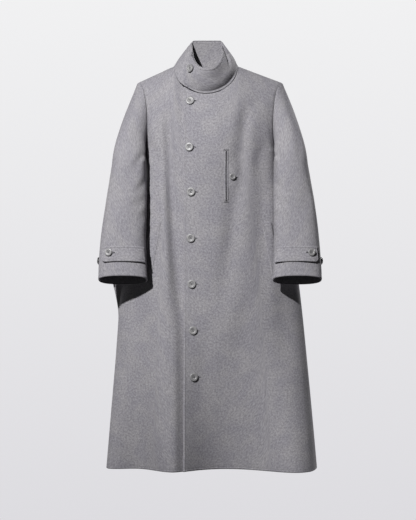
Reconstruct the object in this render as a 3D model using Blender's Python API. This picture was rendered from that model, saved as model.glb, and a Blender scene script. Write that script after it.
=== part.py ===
"""A long wool coat with a funnel collar and an off-centre button front, hollow, as it hangs.

Metres, +Z up. The coat faces -Y and the wearer's left is +X. The origin is where the shoulders carry it:
on the shoulder ridge, level with the middle of the body, just below the neck points.
"""

import math
from collections import namedtuple

import bmesh
import bpy
import numpy as np
from mathutils import Vector

# Cloth and seams
CLOTH = 0.0025
COLLAR_CLOTH = 0.004
TAB_CLOTH = 0.0025
WELT_CLOTH = 0.0018
SEAM_GAP = 0.0003
LAYER_GAP = 0.0008
LAP_GAP = 0.0032
SEAM_MITRE = 0.0006
ARMHOLE_MITRE = 0.0028
COLLAR_MITRE = 0.0050
SLEEVE_SEAM_GAP = 2 * SEAM_GAP
COLLAR_SEAM_GAP = 3 * SEAM_GAP
PROBE = 0.0001

# Main lengths of the coat
HEM_Z = -1.187
SHOULDER_X = 0.217
SHOULDER_Z = -0.033
UNDERARM_X = 0.206
UNDERARM_Z = -0.234
NECK_X = -0.012
NECK_HALF_WIDTH = 0.096
NECK_Z = 0.017
NECK_FRONT_DROP = 0.090
NECK_BACK_DROP = 0.023
SHOULDER_ROUND_FRONT = 0.300
SHOULDER_ROUND_BACK = 0.070
FRONT_ARMHOLE_DIP = 0.024
BACK_ARMHOLE_DIP = 0.008
ARMHOLE_CURVE = 0.4
ARMHOLE_FOOT = 0.9999
SHOULDER_CURVE_FALL = 2.2
SHOULDER_CURVE_POWER = 0.62

# Closure: the wearer's left front laps over the right one
LAP_EDGE_X = -0.076
UNDERLAP_EDGE_X = -0.026
LAP_EASE = 0.030
LAP_SINK_END = 0.004

BodySection = namedtuple(
    "BodySection", "height centre_x half_width side_y front_depth back_depth front_roundness"
)
BODY_SECTIONS = (
    BodySection(-1.187, 0.005, 0.3160, 0.004, 0.076, 0.027, 0.36),
    BodySection(-0.900, 0.004, 0.2910, 0.006, 0.092, 0.027, 0.52),
    BodySection(-0.624, 0.001, 0.2650, 0.007, 0.106, 0.027, 0.64),
    BodySection(-0.384, 0.000, 0.2270, 0.006, 0.113, 0.027, 0.61),
    BodySection(-0.295, 0.000, 0.2090, 0.005, 0.115, 0.026, 0.57),
    BodySection(-0.234, 0.000, 0.2060, 0.004, 0.115, 0.026, 0.54),
    BodySection(-0.135, 0.000, 0.2240, 0.003, 0.113, 0.025, 0.50),
    BodySection(-0.033, 0.000, 0.2480, 0.001, 0.108, 0.024, 0.50),
    BodySection(0.040, 0.000, 0.2480, 0.000, 0.104, 0.024, 0.50),
)
BACK_ROUNDNESS = 0.28

# Folds of the fronts: a line from top to bottom, how wide the fold is there, and how far it moves the cloth.
# A depth below nought is a ridge towards the front, above nought a trough. Fades are lengths along Z.
Fold = namedtuple(
    "Fold",
    "top_x top_z bottom_x bottom_z top_width bottom_width top_depth bottom_depth fade_in fade_out",
)
FRONT_FOLDS = (
    Fold(-0.155, -0.090, -0.112, -1.187, 0.022, 0.048, -0.007, -0.042, 0.120, 0.000),
    Fold(-0.125, -0.090, -0.090, -0.800, 0.012, 0.015, 0.013, 0.015, 0.120, 0.200),
    Fold(-0.236, -0.780, -0.211, -1.187, 0.040, 0.046, 0.000, 0.040, 0.060, 0.000),
    Fold(0.108, -0.080, 0.029, -0.780, 0.014, 0.022, 0.010, 0.007, 0.100, 0.250),
    Fold(0.040, -0.700, 0.044, -1.187, 0.060, 0.078, 0.000, 0.046, 0.060, 0.000),
    Fold(0.240, -0.680, 0.262, -1.187, 0.060, 0.062, 0.000, -0.060, 0.060, 0.000),
)
BACK_FOLDS = (
    Fold(-0.120, -0.400, -0.160, -1.187, 0.040, 0.052, 0.000, -0.018, 0.100, 0.000),
    Fold(0.000, -0.250, 0.020, -1.187, 0.030, 0.055, 0.000, 0.016, 0.100, 0.000),
    Fold(0.110, -0.480, 0.175, -1.187, 0.040, 0.055, 0.000, -0.015, 0.100, 0.000),
)
FOLD_FADE_AT_SIDE = 0.40
FOLD_START = 0.020
FOLD_DEEPENING = 1.5

# Soft pleat of the back behind the wearer's right side seam
SIDE_PLEAT_REACH = 0.056
SIDE_PLEAT_Z = -0.560
SIDE_PLEAT_ABOVE = 0.150
SIDE_PLEAT_BELOW = 0.085
SIDE_PLEAT_ANGLE = math.radians(-107)
SIDE_PLEAT_SPREAD = math.radians(11)
SIDE_PLEAT_FADE = 0.22

SleeveSection = namedtuple("SleeveSection", "height outer_x inner_x y half_depth tilt")
SLEEVE_SECTIONS = (
    SleeveSection(-0.6225, 0.3270, 0.1830, -0.112, 0.037, 0.36),
    SleeveSection(-0.5340, 0.3235, 0.1875, -0.099, 0.042, 0.22),
    SleeveSection(-0.3840, 0.3050, 0.1870, -0.082, 0.046, 0.12),
    SleeveSection(-0.2800, 0.2880, 0.1885, -0.071, 0.047, 0.06),
)
SLEEVE_FALL = Vector((0.06, -0.17, -0.98))
SLEEVE_FLATNESS_X = 0.88
SLEEVE_FLATNESS_Y = 0.74

# Which way the sleeve's cloth leaves the armhole seam, by degrees round it from the shoulder to the front
SeamLeave = namedtuple("SeamLeave", "degrees out back up")
SEAM_LEAVES = (
    SeamLeave(0, 0.36, -0.08, -0.93),
    SeamLeave(50, 0.36, -0.38, -0.85),
    SeamLeave(90, 0.16, -0.52, -0.84),
    SeamLeave(135, 0.26, -0.66, -0.70),
    SeamLeave(180, 0.82, -0.30, -0.50),
    SeamLeave(225, 0.85, -0.06, -0.53),
    SeamLeave(290, 0.72, 0.06, -0.69),
    SeamLeave(360, 0.36, -0.08, -0.93),
)

# Funnel collar: a band that starts under the lap, runs round the neck and ends on the lap's edge
COLLAR_START = math.radians(6)
COLLAR_SWEEP = math.radians(408)
COLLAR_END_LEAN = math.radians(38)
COLLAR_LEAN_FROM = math.radians(340)
COLLAR_UNDER_END = math.radians(80)
COLLAR_UNDER_FULL = math.radians(55)
COLLAR_TOP_X = -0.0088
COLLAR_TOP_HALF_WIDTH = 0.0475
COLLAR_TOP_BACK_Y = 0.010
COLLAR_TOP_SIDE_Y = -0.020
COLLAR_TOP_FRONT_Y = -0.106
COLLAR_TOP_BACK_Z = 0.0945
COLLAR_TOP_FRONT_Z = -0.004
COLLAR_CORNER = 0.20
COLLAR_FRONT_CURVE = 0.80
COLLAR_ROLL = 0.004
COLLAR_CREASE_TOP = math.radians(98)
COLLAR_CREASE_END = math.radians(66)
COLLAR_CREASE_RISE = 0.45
COLLAR_CREASE_WIDTH = math.radians(6)
COLLAR_CREASE_DEPTH = 0.007
COLLAR_CREASE_FADE = (-0.1, 0.5)
COLLAR_PROBE = 0.01

# Buttons and their places
FRONT_BUTTON = 0.0125
CUFF_BUTTON = 0.0110
POCKET_BUTTON = 0.0095
BUTTON_HEIGHT = 0.0045
BUTTON_STAND = 0.0012
CHEST_BUTTON_LIFT = 3 * BUTTON_STAND
COLLAR_BUTTON_LIFT = 2 * BUTTON_STAND
TAB_BUTTON_LIFT = TAB_CLOTH + 3 * BUTTON_STAND
ButtonPlace = namedtuple("ButtonPlace", "x z")
FRONT_BUTTON_PLACES = (
    ButtonPlace(-0.0587, -0.0945),
    ButtonPlace(-0.0606, -0.2325),
    ButtonPlace(-0.0557, -0.3636),
    ButtonPlace(-0.0565, -0.4997),
    ButtonPlace(-0.0540, -0.6345),
    ButtonPlace(-0.0500, -0.7706),
    ButtonPlace(-0.0485, -0.9080),
)
COLLAR_BUTTON_SWEEP = math.radians(388.5)
COLLAR_BUTTON_RISE = 0.735

# Half a button's section from its back over the rim to its dished face, as shares of its radius and height
ButtonRing = namedtuple("ButtonRing", "radius height")
BUTTON_SECTION = (
    ButtonRing(0.0, 0.0),
    ButtonRing(0.86, 0.0),
    ButtonRing(1.0, 0.40),
    ButtonRing(0.895, 1.0),
    ButtonRing(0.70, 0.95),
    ButtonRing(0.55, 0.62),
    ButtonRing(0.0, 0.55),
)

# Cuff tabs, as angles round the sleeve from its outer edge and distances up the sleeve
TAB_TIP_ANGLE = math.radians(38)
TAB_ROOT_ANGLE = math.radians(152)
TAB_TOP_Z = -0.532
TAB_BOTTOM_Z = -0.579
TAB_REST = 0.0007
TAB_LIFT = 0.0035
TAB_LIFT_SHARES = (0.0, 0.45, 1.0)
TAB_BUTTON_ANGLE = math.radians(60)
TAB_BUTTON_Z = -0.551
SPARE_BUTTON_ANGLE = math.radians(-14)
SPARE_BUTTON_Z = -0.563

# Pockets
CHEST_SLIT_X = 0.0475
CHEST_SLIT_TOP_Z = -0.245
CHEST_SLIT_BOTTOM_Z = -0.391
CHEST_WELT_WIDTH = 0.0058
CHEST_SLIT_WIDTH = 0.0016
CHEST_BUTTON_X = 0.0645
CHEST_BUTTON_Z = -0.319
SIDE_POCKET_TOP_Z = -0.452
SIDE_POCKET_BOTTOM_Z = -0.623
SIDE_POCKET_LEFT_X = (0.153, 0.183)
SIDE_POCKET_RIGHT_X = (-0.145, -0.173)
SIDE_WELT_WIDTH = 0.026
WELT_LIFT = 0.0014

# How finely the cloth is cut into faces
EDGE_EASE = 0.060
YOKE_ROWS = 12
SKIRT_ROWS = 17
NECK_COLUMNS = 9
UNDERLAP_NECK_COLUMNS = 5
BACK_NECK_COLUMNS = 8
SHOULDER_COLUMNS = 7
SLEEVE_AROUND = 2 * YOKE_ROWS
CROWN_ROWS = 6
CROWN_SPACING = 1.15
SLEEVE_ROWS = 9
COLLAR_COLUMNS = 60
COLLAR_ROWS = 4
TAB_COLUMNS = 10
CHEST_WELT_ROWS = 8
SIDE_WELT_ROWS = 7
SIDE_WELT_COLUMNS = 2
BUTTON_SIDES = 16

WOOL_GREY = (0.27, 0.265, 0.28)
WOOL_ROUGHNESS = 0.95
WOOL_SHARP_ANGLE = math.radians(50)
BUTTON_GREY = (0.20, 0.20, 0.205)
BUTTON_ROUGHNESS = 0.35
BUTTON_SHARP_ANGLE = math.radians(40)
MERGE_DISTANCE = 1e-6


def smooth_step(low, high, value):
    """Nought below low, one above high, with an easy change between."""
    t = np.clip((value - low) / (high - low), 0.0, 1.0)
    return t * t * (3.0 - 2.0 * t)


def through(table, column, height):
    """A column of a table as a smooth curve of the table's first column, with Catmull-Rom slopes."""
    xs = np.array([row[0] for row in table])
    ys = np.array([getattr(row, column) for row in table])
    slopes = np.gradient(ys, xs)
    height = np.clip(height, xs[0], xs[-1])
    i = np.clip(np.searchsorted(xs, height) - 1, 0, len(xs) - 2)
    width = xs[i + 1] - xs[i]
    t = (height - xs[i]) / width
    rise = ys[i + 1] - ys[i]
    start = slopes[i] * width
    end = slopes[i + 1] * width
    return ys[i] + t * start + t**2 * (3 * rise - 2 * start - end) + t**3 * (start + end - 2 * rise)


def fold_shift(folds, x, z):
    """How far the folds move the cloth along Y at x and z."""
    shift = np.zeros(np.broadcast(x, z).shape)
    for fold in folds:
        share = np.clip((z - fold.top_z) / (fold.bottom_z - fold.top_z), 0.0, 1.0)
        line = fold.top_x + share * (fold.bottom_x - fold.top_x)
        width = fold.top_width + share * (fold.bottom_width - fold.top_width)
        depth = fold.top_depth + share**FOLD_DEEPENING * (fold.bottom_depth - fold.top_depth)
        start_z = fold.top_z + FOLD_START
        fade = smooth_step(start_z, start_z - fold.fade_in, z)
        if fold.fade_out:
            fade = fade * smooth_step(fold.bottom_z, fold.bottom_z + fold.fade_out, z)
        shift = shift + depth * fade * np.exp(-0.5 * ((x - line) / width) ** 2)
    return shift


def ridge_height(x):
    """Height of the shoulder ridge above x, level across the neck."""
    past_neck = np.abs(x - NECK_X) - NECK_HALF_WIDTH
    reach = SHOULDER_X - NECK_HALF_WIDTH - NECK_X * np.sign(x - NECK_X)
    return NECK_Z + np.clip(past_neck, 0.0, None) / reach * (SHOULDER_Z - NECK_Z)


def shoulder_rounding(drop, reach):
    """Share of the full depth that the body has this far below the shoulder ridge."""
    t = np.clip(drop / reach, 0.0, 1.0)
    return (1.0 - (1.0 - t) ** SHOULDER_CURVE_FALL) ** SHOULDER_CURVE_POWER


def body_point(angle, z):
    """The body's outer face: angle nought is centre front, a quarter turn the wearer's left side seam."""
    half_width = through(BODY_SECTIONS, "half_width", z)
    side_y = through(BODY_SECTIONS, "side_y", z)
    roundness = through(BODY_SECTIONS, "front_roundness", z)
    facing = np.cos(angle)
    x = through(BODY_SECTIONS, "centre_x", z) + half_width * np.sin(angle)
    in_front = facing > 0
    settled = smooth_step(0.0, FOLD_FADE_AT_SIDE, np.abs(facing))
    front = side_y - through(BODY_SECTIONS, "front_depth", z) * np.abs(facing) ** (2.0 * roundness)
    front = front + settled * fold_shift(FRONT_FOLDS, x, z)
    back = side_y + through(BODY_SECTIONS, "back_depth", z) * np.abs(facing) ** (2.0 * BACK_ROUNDNESS)
    back = back - settled * fold_shift(BACK_FOLDS, x, z)
    drop = ridge_height(x) - z
    front = front * shoulder_rounding(drop, SHOULDER_ROUND_FRONT)
    back = back * shoulder_rounding(drop, SHOULDER_ROUND_BACK)
    turn = (angle + math.pi) % (2 * math.pi) - math.pi
    pleat = np.exp(-0.5 * ((turn - SIDE_PLEAT_ANGLE) / SIDE_PLEAT_SPREAD) ** 2)
    pleat_length = np.where(z > SIDE_PLEAT_Z, SIDE_PLEAT_ABOVE, SIDE_PLEAT_BELOW)
    pleat = pleat * np.exp(-0.5 * ((z - SIDE_PLEAT_Z) / pleat_length) ** 2)
    pleat = pleat * smooth_step(0.0, SIDE_PLEAT_FADE, -facing)
    x = x - SIDE_PLEAT_REACH * pleat
    return np.stack(np.broadcast_arrays(x, np.where(in_front, front, back), z), axis=-1)


def unit(vectors):
    return vectors / np.linalg.norm(vectors, axis=-1, keepdims=True)


def body_normal(angle, z):
    """The outward direction of the body's face, from two short steps along it."""
    across = body_point(angle + PROBE, z) - body_point(angle - PROBE, z)
    down = body_point(angle, z - PROBE) - body_point(angle, z)
    return unit(np.cross(down, across))


def front_angle(x, z):
    """The angle of the front at x and z."""
    off_centre = x - through(BODY_SECTIONS, "centre_x", z)
    return np.arcsin(np.clip(off_centre / through(BODY_SECTIONS, "half_width", z), -1.0, 1.0))


def armhole_x(share, dip):
    """Half-width of the body along the armhole, from the shoulder point down to the underarm."""
    line = SHOULDER_X + share * (UNDERARM_X - SHOULDER_X)
    return line - dip * np.clip(4.0 * share * (1.0 - share), 0.0, 1.0) ** ARMHOLE_CURVE


def side_angle(z, dip):
    """The angle of a panel's outer edge: the armhole, then the side seam."""
    share = np.clip((SHOULDER_Z - z) / (SHOULDER_Z - UNDERARM_Z), 0.0, 1.0)
    edge = np.minimum(armhole_x(share, dip) / through(BODY_SECTIONS, "half_width", z), 1.0)
    return np.where(z <= UNDERARM_Z + PROBE, math.pi / 2, np.arcsin(edge))


def easy_side_angle(z):
    """An angle near a panel's outer edge that changes evenly with height, which spaces the panel's columns."""
    shoulder = front_angle(SHOULDER_X, SHOULDER_Z)
    share = smooth_step(SHOULDER_Z, UNDERARM_Z - EDGE_EASE, z)
    return shoulder + share * (math.pi / 2 - shoulder)


def neck_height(x, drop):
    """Height of the neckline at x."""
    across = np.clip((x - NECK_X) / NECK_HALF_WIDTH, -1.0, 1.0)
    return NECK_Z - drop * np.sqrt(1.0 - across**2)


def neck_columns(start, end, count):
    """Places along the neckline from start to end, spaced evenly round its curve."""
    ends = [math.asin(max(-1.0, min(1.0, (x - NECK_X) / NECK_HALF_WIDTH))) for x in (start, end)]
    return NECK_X + NECK_HALF_WIDTH * np.sin(np.linspace(*ends, count + 1))


def row_heights(top_z):
    """Heights of a panel's rows: closest at the shoulder and the underarm, then level down to the hem."""
    share = 0.5 - 0.5 * np.cos(np.linspace(0.0, math.pi, YOKE_ROWS + 1))
    yoke = top_z + share[:, None] * (UNDERARM_Z - top_z)
    skirt = np.linspace(UNDERARM_Z, HEM_Z, SKIRT_ROWS + 1)[1:, None]
    return np.concatenate([yoke, np.broadcast_to(skirt, (SKIRT_ROWS, len(top_z)))])


def half_panel(top_x, edge_x, side, drop, dip):
    """Angles and heights of a panel's grid, from its free edge or centre line to one side."""
    top_z = np.where(
        np.abs(top_x - NECK_X) < NECK_HALF_WIDTH, neck_height(top_x, drop), ridge_height(top_x)
    )
    z = row_heights(top_z)
    start = front_angle(edge_x, z)
    end = side * easy_side_angle(z)
    top_angle = front_angle(top_x, top_z)
    share = (top_angle - start[0]) / (end[0] - start[0])
    past_neck = np.clip(np.abs(top_x - NECK_X) - NECK_HALF_WIDTH, 0.0, None)
    to_edge = side * side_angle(z[:, -1:], dip) - end[:, -1:]
    return start + share * (end - start) + past_neck / past_neck[-1] * to_edge, z


def wall(outer, inward, thickness):
    """The inner face of a wall: its outer points moved in."""
    return outer - thickness * inward


def mitre(outer, inner, edge, amount):
    """Draws the inner points of one edge of a grid back into the piece, so that neighbours clear each other."""
    here, beside = {
        "top": (np.s_[0], np.s_[1]),
        "bottom": (np.s_[-1], np.s_[-2]),
        "first": (np.s_[:, 0], np.s_[:, 1]),
        "last": (np.s_[:, -1], np.s_[:, -2]),
    }[edge]
    amount = np.asarray(amount)
    amount = amount[..., None] if amount.ndim else amount
    inner[here] = inner[here] + amount * unit(outer[beside] - outer[here])


def pull_in(points, edge, amount):
    """Moves one edge of a grid towards the row or column beside it, which leaves a seam's gap."""
    mitre(points, points, edge, amount)


def add_object(name, mesh, location=(0, 0, 0), axis=None):
    part = bpy.data.objects.new(name, mesh)
    part.location = location
    if axis is not None:
        part.rotation_euler = Vector(axis).to_track_quat("Z", "Y").to_euler()
    bpy.context.collection.objects.link(part)
    return part


def cloth_piece(name, outer, inner, closed=False):
    """A closed wall between an outer and an inner grid of points. A closed piece is a tube."""
    rows, columns = outer.shape[:2]
    count = rows * columns
    around = columns if closed else columns - 1
    faces = []
    for r in range(rows - 1):
        for c in range(around):
            d = (c + 1) % columns
            a, b = r * columns + c, r * columns + d
            e, f = a + columns, b + columns
            faces.append((a, e, f, b))
            faces.append((count + a, count + b, count + f, count + e))
    for c in range(around):
        d = (c + 1) % columns
        low = (rows - 1) * columns
        faces.append((c, d, count + d, count + c))
        faces.append((low + d, low + c, count + low + c, count + low + d))
    if not closed:
        for r in range(rows - 1):
            a, b = r * columns, (r + 1) * columns
            e, f = a + columns - 1, b + columns - 1
            faces.append((b, a, count + a, count + b))
            faces.append((e, f, count + f, count + e))
    mesh = bpy.data.meshes.new(name)
    points = np.concatenate([outer.reshape(-1, 3), inner.reshape(-1, 3)])
    mesh.from_pydata(points.tolist(), [], faces)
    shape = bmesh.new()
    shape.from_mesh(mesh)
    bmesh.ops.recalc_face_normals(shape, faces=shape.faces)
    shape.to_mesh(mesh)
    shape.free()
    mesh.shade_smooth()
    mesh.set_sharp_from_angle(angle=WOOL_SHARP_ANGLE)
    mesh.materials.append(surface(f"{name}_wool", WOOL_GREY, WOOL_ROUGHNESS))
    return add_object(name, mesh)


def surface(name, colour, roughness):
    material = bpy.data.materials.new(name)
    material.use_nodes = True
    shader = material.node_tree.nodes["Principled BSDF"]
    shader.inputs["Base Color"].default_value = (*colour, 1.0)
    shader.inputs["Roughness"].default_value = roughness
    shader.inputs["Metallic"].default_value = 0.0
    return material


def seamed_panel(name, angle, z, sink, edges):
    """A body panel on a grid of angles and heights, with its seams' gaps and mitres."""
    normal = body_normal(angle, z)
    outer = body_point(angle, z) - sink[..., None] * normal
    for edge in edges:
        pull_in(outer, edge, SEAM_GAP)
    inner = wall(outer, normal, CLOTH)
    for edge, amount in edges.items():
        mitre(outer, inner, edge, amount)
    return cloth_piece(name, outer, inner)


def side_mitres(z):
    """The mitre along a panel's outer edge: deep at the armhole, slight at the side seam."""
    return np.where(z[:, -1] > UNDERARM_Z + PROBE, ARMHOLE_MITRE, SEAM_MITRE)


def make_left_front():
    """The upper front, from the lap's edge to the wearer's left side."""
    neck = neck_columns(LAP_EDGE_X, NECK_X + NECK_HALF_WIDTH, NECK_COLUMNS)
    shoulder = np.linspace(neck[-1], SHOULDER_X, SHOULDER_COLUMNS + 1)
    top_x = np.concatenate([neck, shoulder[1:]])
    angle, z = half_panel(top_x, LAP_EDGE_X, 1.0, NECK_FRONT_DROP, FRONT_ARMHOLE_DIP)
    edges = {"top": SEAM_MITRE, "last": side_mitres(z)}
    return seamed_panel("front_left", angle, z, np.zeros_like(z), edges)


def make_right_front():
    """The under front, from the wearer's right side to its edge beneath the lap."""
    neck = neck_columns(UNDERLAP_EDGE_X, NECK_X - NECK_HALF_WIDTH, UNDERLAP_NECK_COLUMNS)
    shoulder = np.linspace(neck[-1], -SHOULDER_X, SHOULDER_COLUMNS + 1)
    top_x = np.concatenate([neck, shoulder[1:]])
    angle, z = half_panel(top_x, UNDERLAP_EDGE_X, -1.0, NECK_FRONT_DROP, FRONT_ARMHOLE_DIP)
    x = body_point(angle, z)[..., 0]
    under = smooth_step(LAP_EDGE_X - LAP_EASE, LAP_EDGE_X - LAP_SINK_END, x)
    edges = {"top": SEAM_MITRE, "last": side_mitres(z)}
    return seamed_panel("front_right", angle, z, (CLOTH + LAP_GAP) * under, edges)


def make_back():
    """The back, in one piece from side seam to side seam."""
    halves = []
    for side in (-1.0, 1.0):
        neck = neck_columns(NECK_X, NECK_X + side * NECK_HALF_WIDTH, BACK_NECK_COLUMNS)
        shoulder = np.linspace(neck[-1], side * SHOULDER_X, SHOULDER_COLUMNS + 1)
        top_x = np.concatenate([neck, shoulder[1:]])
        halves.append(half_panel(top_x, NECK_X, side, NECK_BACK_DROP, BACK_ARMHOLE_DIP))
    angle = math.pi - np.concatenate([halves[0][0][:, ::-1], halves[1][0][:, 1:]], axis=1)
    z = np.concatenate([halves[0][1][:, ::-1], halves[1][1][:, 1:]], axis=1)
    side = side_mitres(z)
    edges = {"top": SEAM_MITRE, "first": side, "last": side}
    return seamed_panel("back", angle, z, np.zeros_like(z), edges)


def armhole_point(side, around):
    """A point of the armhole seam: nought at the shoulder, a half turn at the underarm, the front between."""
    share = 0.5 - 0.5 * np.cos(around)
    z = SHOULDER_Z + share * (UNDERARM_Z - SHOULDER_Z)
    in_front = np.sin(around) >= 0
    dip = np.where(in_front, FRONT_ARMHOLE_DIP, BACK_ARMHOLE_DIP)
    angle = front_angle(armhole_x(share, dip), z)
    angle = np.where(share > ARMHOLE_FOOT, math.pi / 2, angle)
    angle = side * np.where(in_front, angle, math.pi - angle)
    return body_point(angle, z), body_normal(angle, z)


def hanging_point(side, around, height):
    """A point of the sleeve below its turn, at a height of its middle line."""
    outer = through(SLEEVE_SECTIONS, "outer_x", height)
    inner = through(SLEEVE_SECTIONS, "inner_x", height)
    across = np.sign(np.cos(around)) * np.abs(np.cos(around)) ** SLEEVE_FLATNESS_X
    forward = np.sign(np.sin(around)) * np.abs(np.sin(around)) ** SLEEVE_FLATNESS_Y
    off_y = -through(SLEEVE_SECTIONS, "half_depth", height) * forward
    x = side * (0.5 * (outer + inner) + 0.5 * (outer - inner) * across)
    y = through(SLEEVE_SECTIONS, "y", height) + off_y
    z = height - through(SLEEVE_SECTIONS, "tilt", height) * off_y
    return np.stack(np.broadcast_arrays(x, y, z), axis=-1)


def crown_point(side, around, share):
    """A point of the sleeve between the armhole, at nought, and its hanging part, at one."""
    start = armhole_point(side, around)[0]
    end = hanging_point(side, around, np.full_like(around, SLEEVE_SECTIONS[-1].height))
    degrees = np.degrees(around)
    leave = np.stack([through(SEAM_LEAVES, column, degrees) for column in ("out", "back", "up")], axis=-1)
    mirror = np.array((side, 1.0, 1.0))
    span = np.linalg.norm(end - start, axis=-1, keepdims=True)
    leave = unit(leave) * mirror * span
    arrive = np.array(SLEEVE_FALL) * mirror * span
    t = np.asarray(share)[..., None]
    return (
        (1 - 3 * t**2 + 2 * t**3) * start
        + (t - 2 * t**2 + t**3) * leave
        + (3 * t**2 - 2 * t**3) * end
        + (t**3 - t**2) * arrive
    )


def sleeve_point(side, around, height):
    """A point of the sleeve where it hangs, with the direction out of the cloth."""
    across = hanging_point(side, around + PROBE, height) - hanging_point(side, around - PROBE, height)
    down = hanging_point(side, around, height - PROBE) - hanging_point(side, around, height + PROBE)
    return hanging_point(side, around, height), unit(side * np.cross(across, down))


def grid_normal(points, closed):
    """Directions across a grid's face, from its own rows and columns."""
    down = np.gradient(points, axis=0)
    if closed:
        wide = np.concatenate([points[:, -1:], points, points[:, :1]], axis=1)
        across = np.gradient(wide, axis=1)[:, 1:-1]
    else:
        across = np.gradient(points, axis=1)
    return unit(np.cross(down, across))


def make_sleeve(name, side):
    """A sleeve in one tube, from the armhole to the cuff."""
    around = np.linspace(0.0, 2 * math.pi, SLEEVE_AROUND, endpoint=False)
    shares = np.linspace(0.0, 1.0, CROWN_ROWS + 1) ** CROWN_SPACING
    crown = [crown_point(side, around, np.full_like(around, share)) for share in shares]
    heights = np.linspace(SLEEVE_SECTIONS[-1].height, SLEEVE_SECTIONS[0].height, SLEEVE_ROWS + 1)
    hanging = [hanging_point(side, around, np.full_like(around, height)) for height in heights[1:]]
    outer = np.stack(crown + hanging)
    normal = -side * grid_normal(outer, closed=True)
    seam_normal = armhole_point(side, around)[1]
    normal[0] = unit(normal[0] + seam_normal)
    pull_in(outer, "top", SLEEVE_SEAM_GAP)
    inner = wall(outer, normal, CLOTH)
    mitre(outer, inner, "top", ARMHOLE_MITRE)
    return cloth_piece(name, outer, inner, closed=True)


def collar_base(turn):
    """The neckline seam: nought is its middle front, a quarter turn the wearer's left."""
    x = NECK_X + NECK_HALF_WIDTH * np.sin(turn)
    in_front = np.cos(turn) > 0
    z = NECK_Z - np.where(in_front, NECK_FRONT_DROP, NECK_BACK_DROP) * np.abs(np.cos(turn))
    angle = front_angle(x, z)
    return body_point(np.where(in_front, angle, math.pi - angle), z)


def collar_top(turn):
    """The collar's upper edge: a flat back, two peaks at the sides and a round front that droops."""
    facing = np.cos(turn)
    swing = np.sin(turn)
    squareness = np.where(facing > 0, COLLAR_FRONT_CURVE, COLLAR_CORNER)
    x = COLLAR_TOP_X + COLLAR_TOP_HALF_WIDTH * np.sign(swing) * np.abs(swing) ** squareness
    front = COLLAR_TOP_SIDE_Y + (COLLAR_TOP_FRONT_Y - COLLAR_TOP_SIDE_Y) * np.abs(facing)
    back = COLLAR_TOP_SIDE_Y + (COLLAR_TOP_BACK_Y - COLLAR_TOP_SIDE_Y) * np.abs(facing) ** COLLAR_CORNER
    y = np.where(facing > 0, front, back)
    slope = (COLLAR_TOP_FRONT_Z - COLLAR_TOP_BACK_Z) / (COLLAR_TOP_FRONT_Y - COLLAR_TOP_BACK_Y)
    z = COLLAR_TOP_BACK_Z + slope * (y - COLLAR_TOP_BACK_Y)
    return np.stack([x, y, z], axis=-1)


def collar_grid(sweep, rise):
    """Points of the collar's outer face and the directions out of it, by rows of rise and columns of sweep."""
    lean = COLLAR_END_LEAN * rise[:, None]
    turn = COLLAR_START - sweep - lean * smooth_step(COLLAR_LEAN_FROM, COLLAR_SWEEP, sweep)
    base, top = collar_base(turn), collar_top(turn)
    points = base + rise[:, None, None] * (top - base)
    normal = grid_normal(points, closed=False)
    roll = COLLAR_ROLL * 4.0 * rise * (1.0 - rise)
    along = (rise[:, None] - COLLAR_CREASE_RISE) / (1.0 - COLLAR_CREASE_RISE)
    line = COLLAR_CREASE_END + along * (COLLAR_CREASE_TOP - COLLAR_CREASE_END)
    off_crease = (turn + 2 * math.pi) % (2 * math.pi) - line
    crease = COLLAR_CREASE_DEPTH * np.exp(-0.5 * (off_crease / COLLAR_CREASE_WIDTH) ** 2)
    crease = crease * smooth_step(*COLLAR_CREASE_FADE, along)
    sink = (COLLAR_CLOTH + LAYER_GAP) * smooth_step(
        COLLAR_UNDER_END + lean, COLLAR_UNDER_FULL + lean, sweep
    )
    return points + (roll[:, None] - crease - sink)[..., None] * normal, normal


def make_collar():
    """The collar, one band with its under end beneath the lap."""
    sweep = np.linspace(0.0, COLLAR_SWEEP, COLLAR_COLUMNS + 1)
    outer, normal = collar_grid(sweep, np.linspace(0.0, 1.0, COLLAR_ROWS + 1))
    pull_in(outer, "top", COLLAR_SEAM_GAP)
    inner = wall(outer, normal, COLLAR_CLOTH)
    mitre(outer, inner, "top", COLLAR_MITRE)
    return cloth_piece("collar", outer, inner)


def strip(name, points, normal, lift, thickness):
    """A flat piece lying on another: that piece's points, moved out."""
    lift = np.broadcast_to(np.asarray(lift, float), points.shape[:2])[..., None]
    inner = points + lift * normal
    return cloth_piece(name, inner + thickness * normal, inner)


def make_tab(name, side):
    """A cuff tab, from the sleeve's inner seam to its tip near the outer edge, standing off at its lower edge."""
    around = np.linspace(TAB_ROOT_ANGLE, TAB_TIP_ANGLE, TAB_COLUMNS + 1)
    height = np.linspace(TAB_TOP_Z, TAB_BOTTOM_Z, len(TAB_LIFT_SHARES))
    around, height = np.meshgrid(around, height)
    points, normal = sleeve_point(side, around, height)
    lift = TAB_REST + TAB_LIFT * np.array(TAB_LIFT_SHARES)[:, None]
    return strip(name, points, normal, lift, TAB_CLOTH)


def on_front(x, z):
    """Points of the upper front and the directions out of it."""
    angle = front_angle(x, z)
    return body_point(angle, z), body_normal(angle, z)


def make_chest_pocket():
    """The two narrow welts of the upright chest pocket, one on each side of its slit."""
    z = np.linspace(CHEST_SLIT_TOP_Z, CHEST_SLIT_BOTTOM_Z, CHEST_WELT_ROWS + 1)
    for name, side in (("chest_welt_front", -1.0), ("chest_welt_side", 1.0)):
        near = CHEST_SLIT_X + side * 0.5 * CHEST_SLIT_WIDTH
        x, zz = np.meshgrid((near, near + side * CHEST_WELT_WIDTH), z)
        points, normal = on_front(x, zz)
        strip(name, points, normal, WELT_LIFT, WELT_CLOTH)


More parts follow.
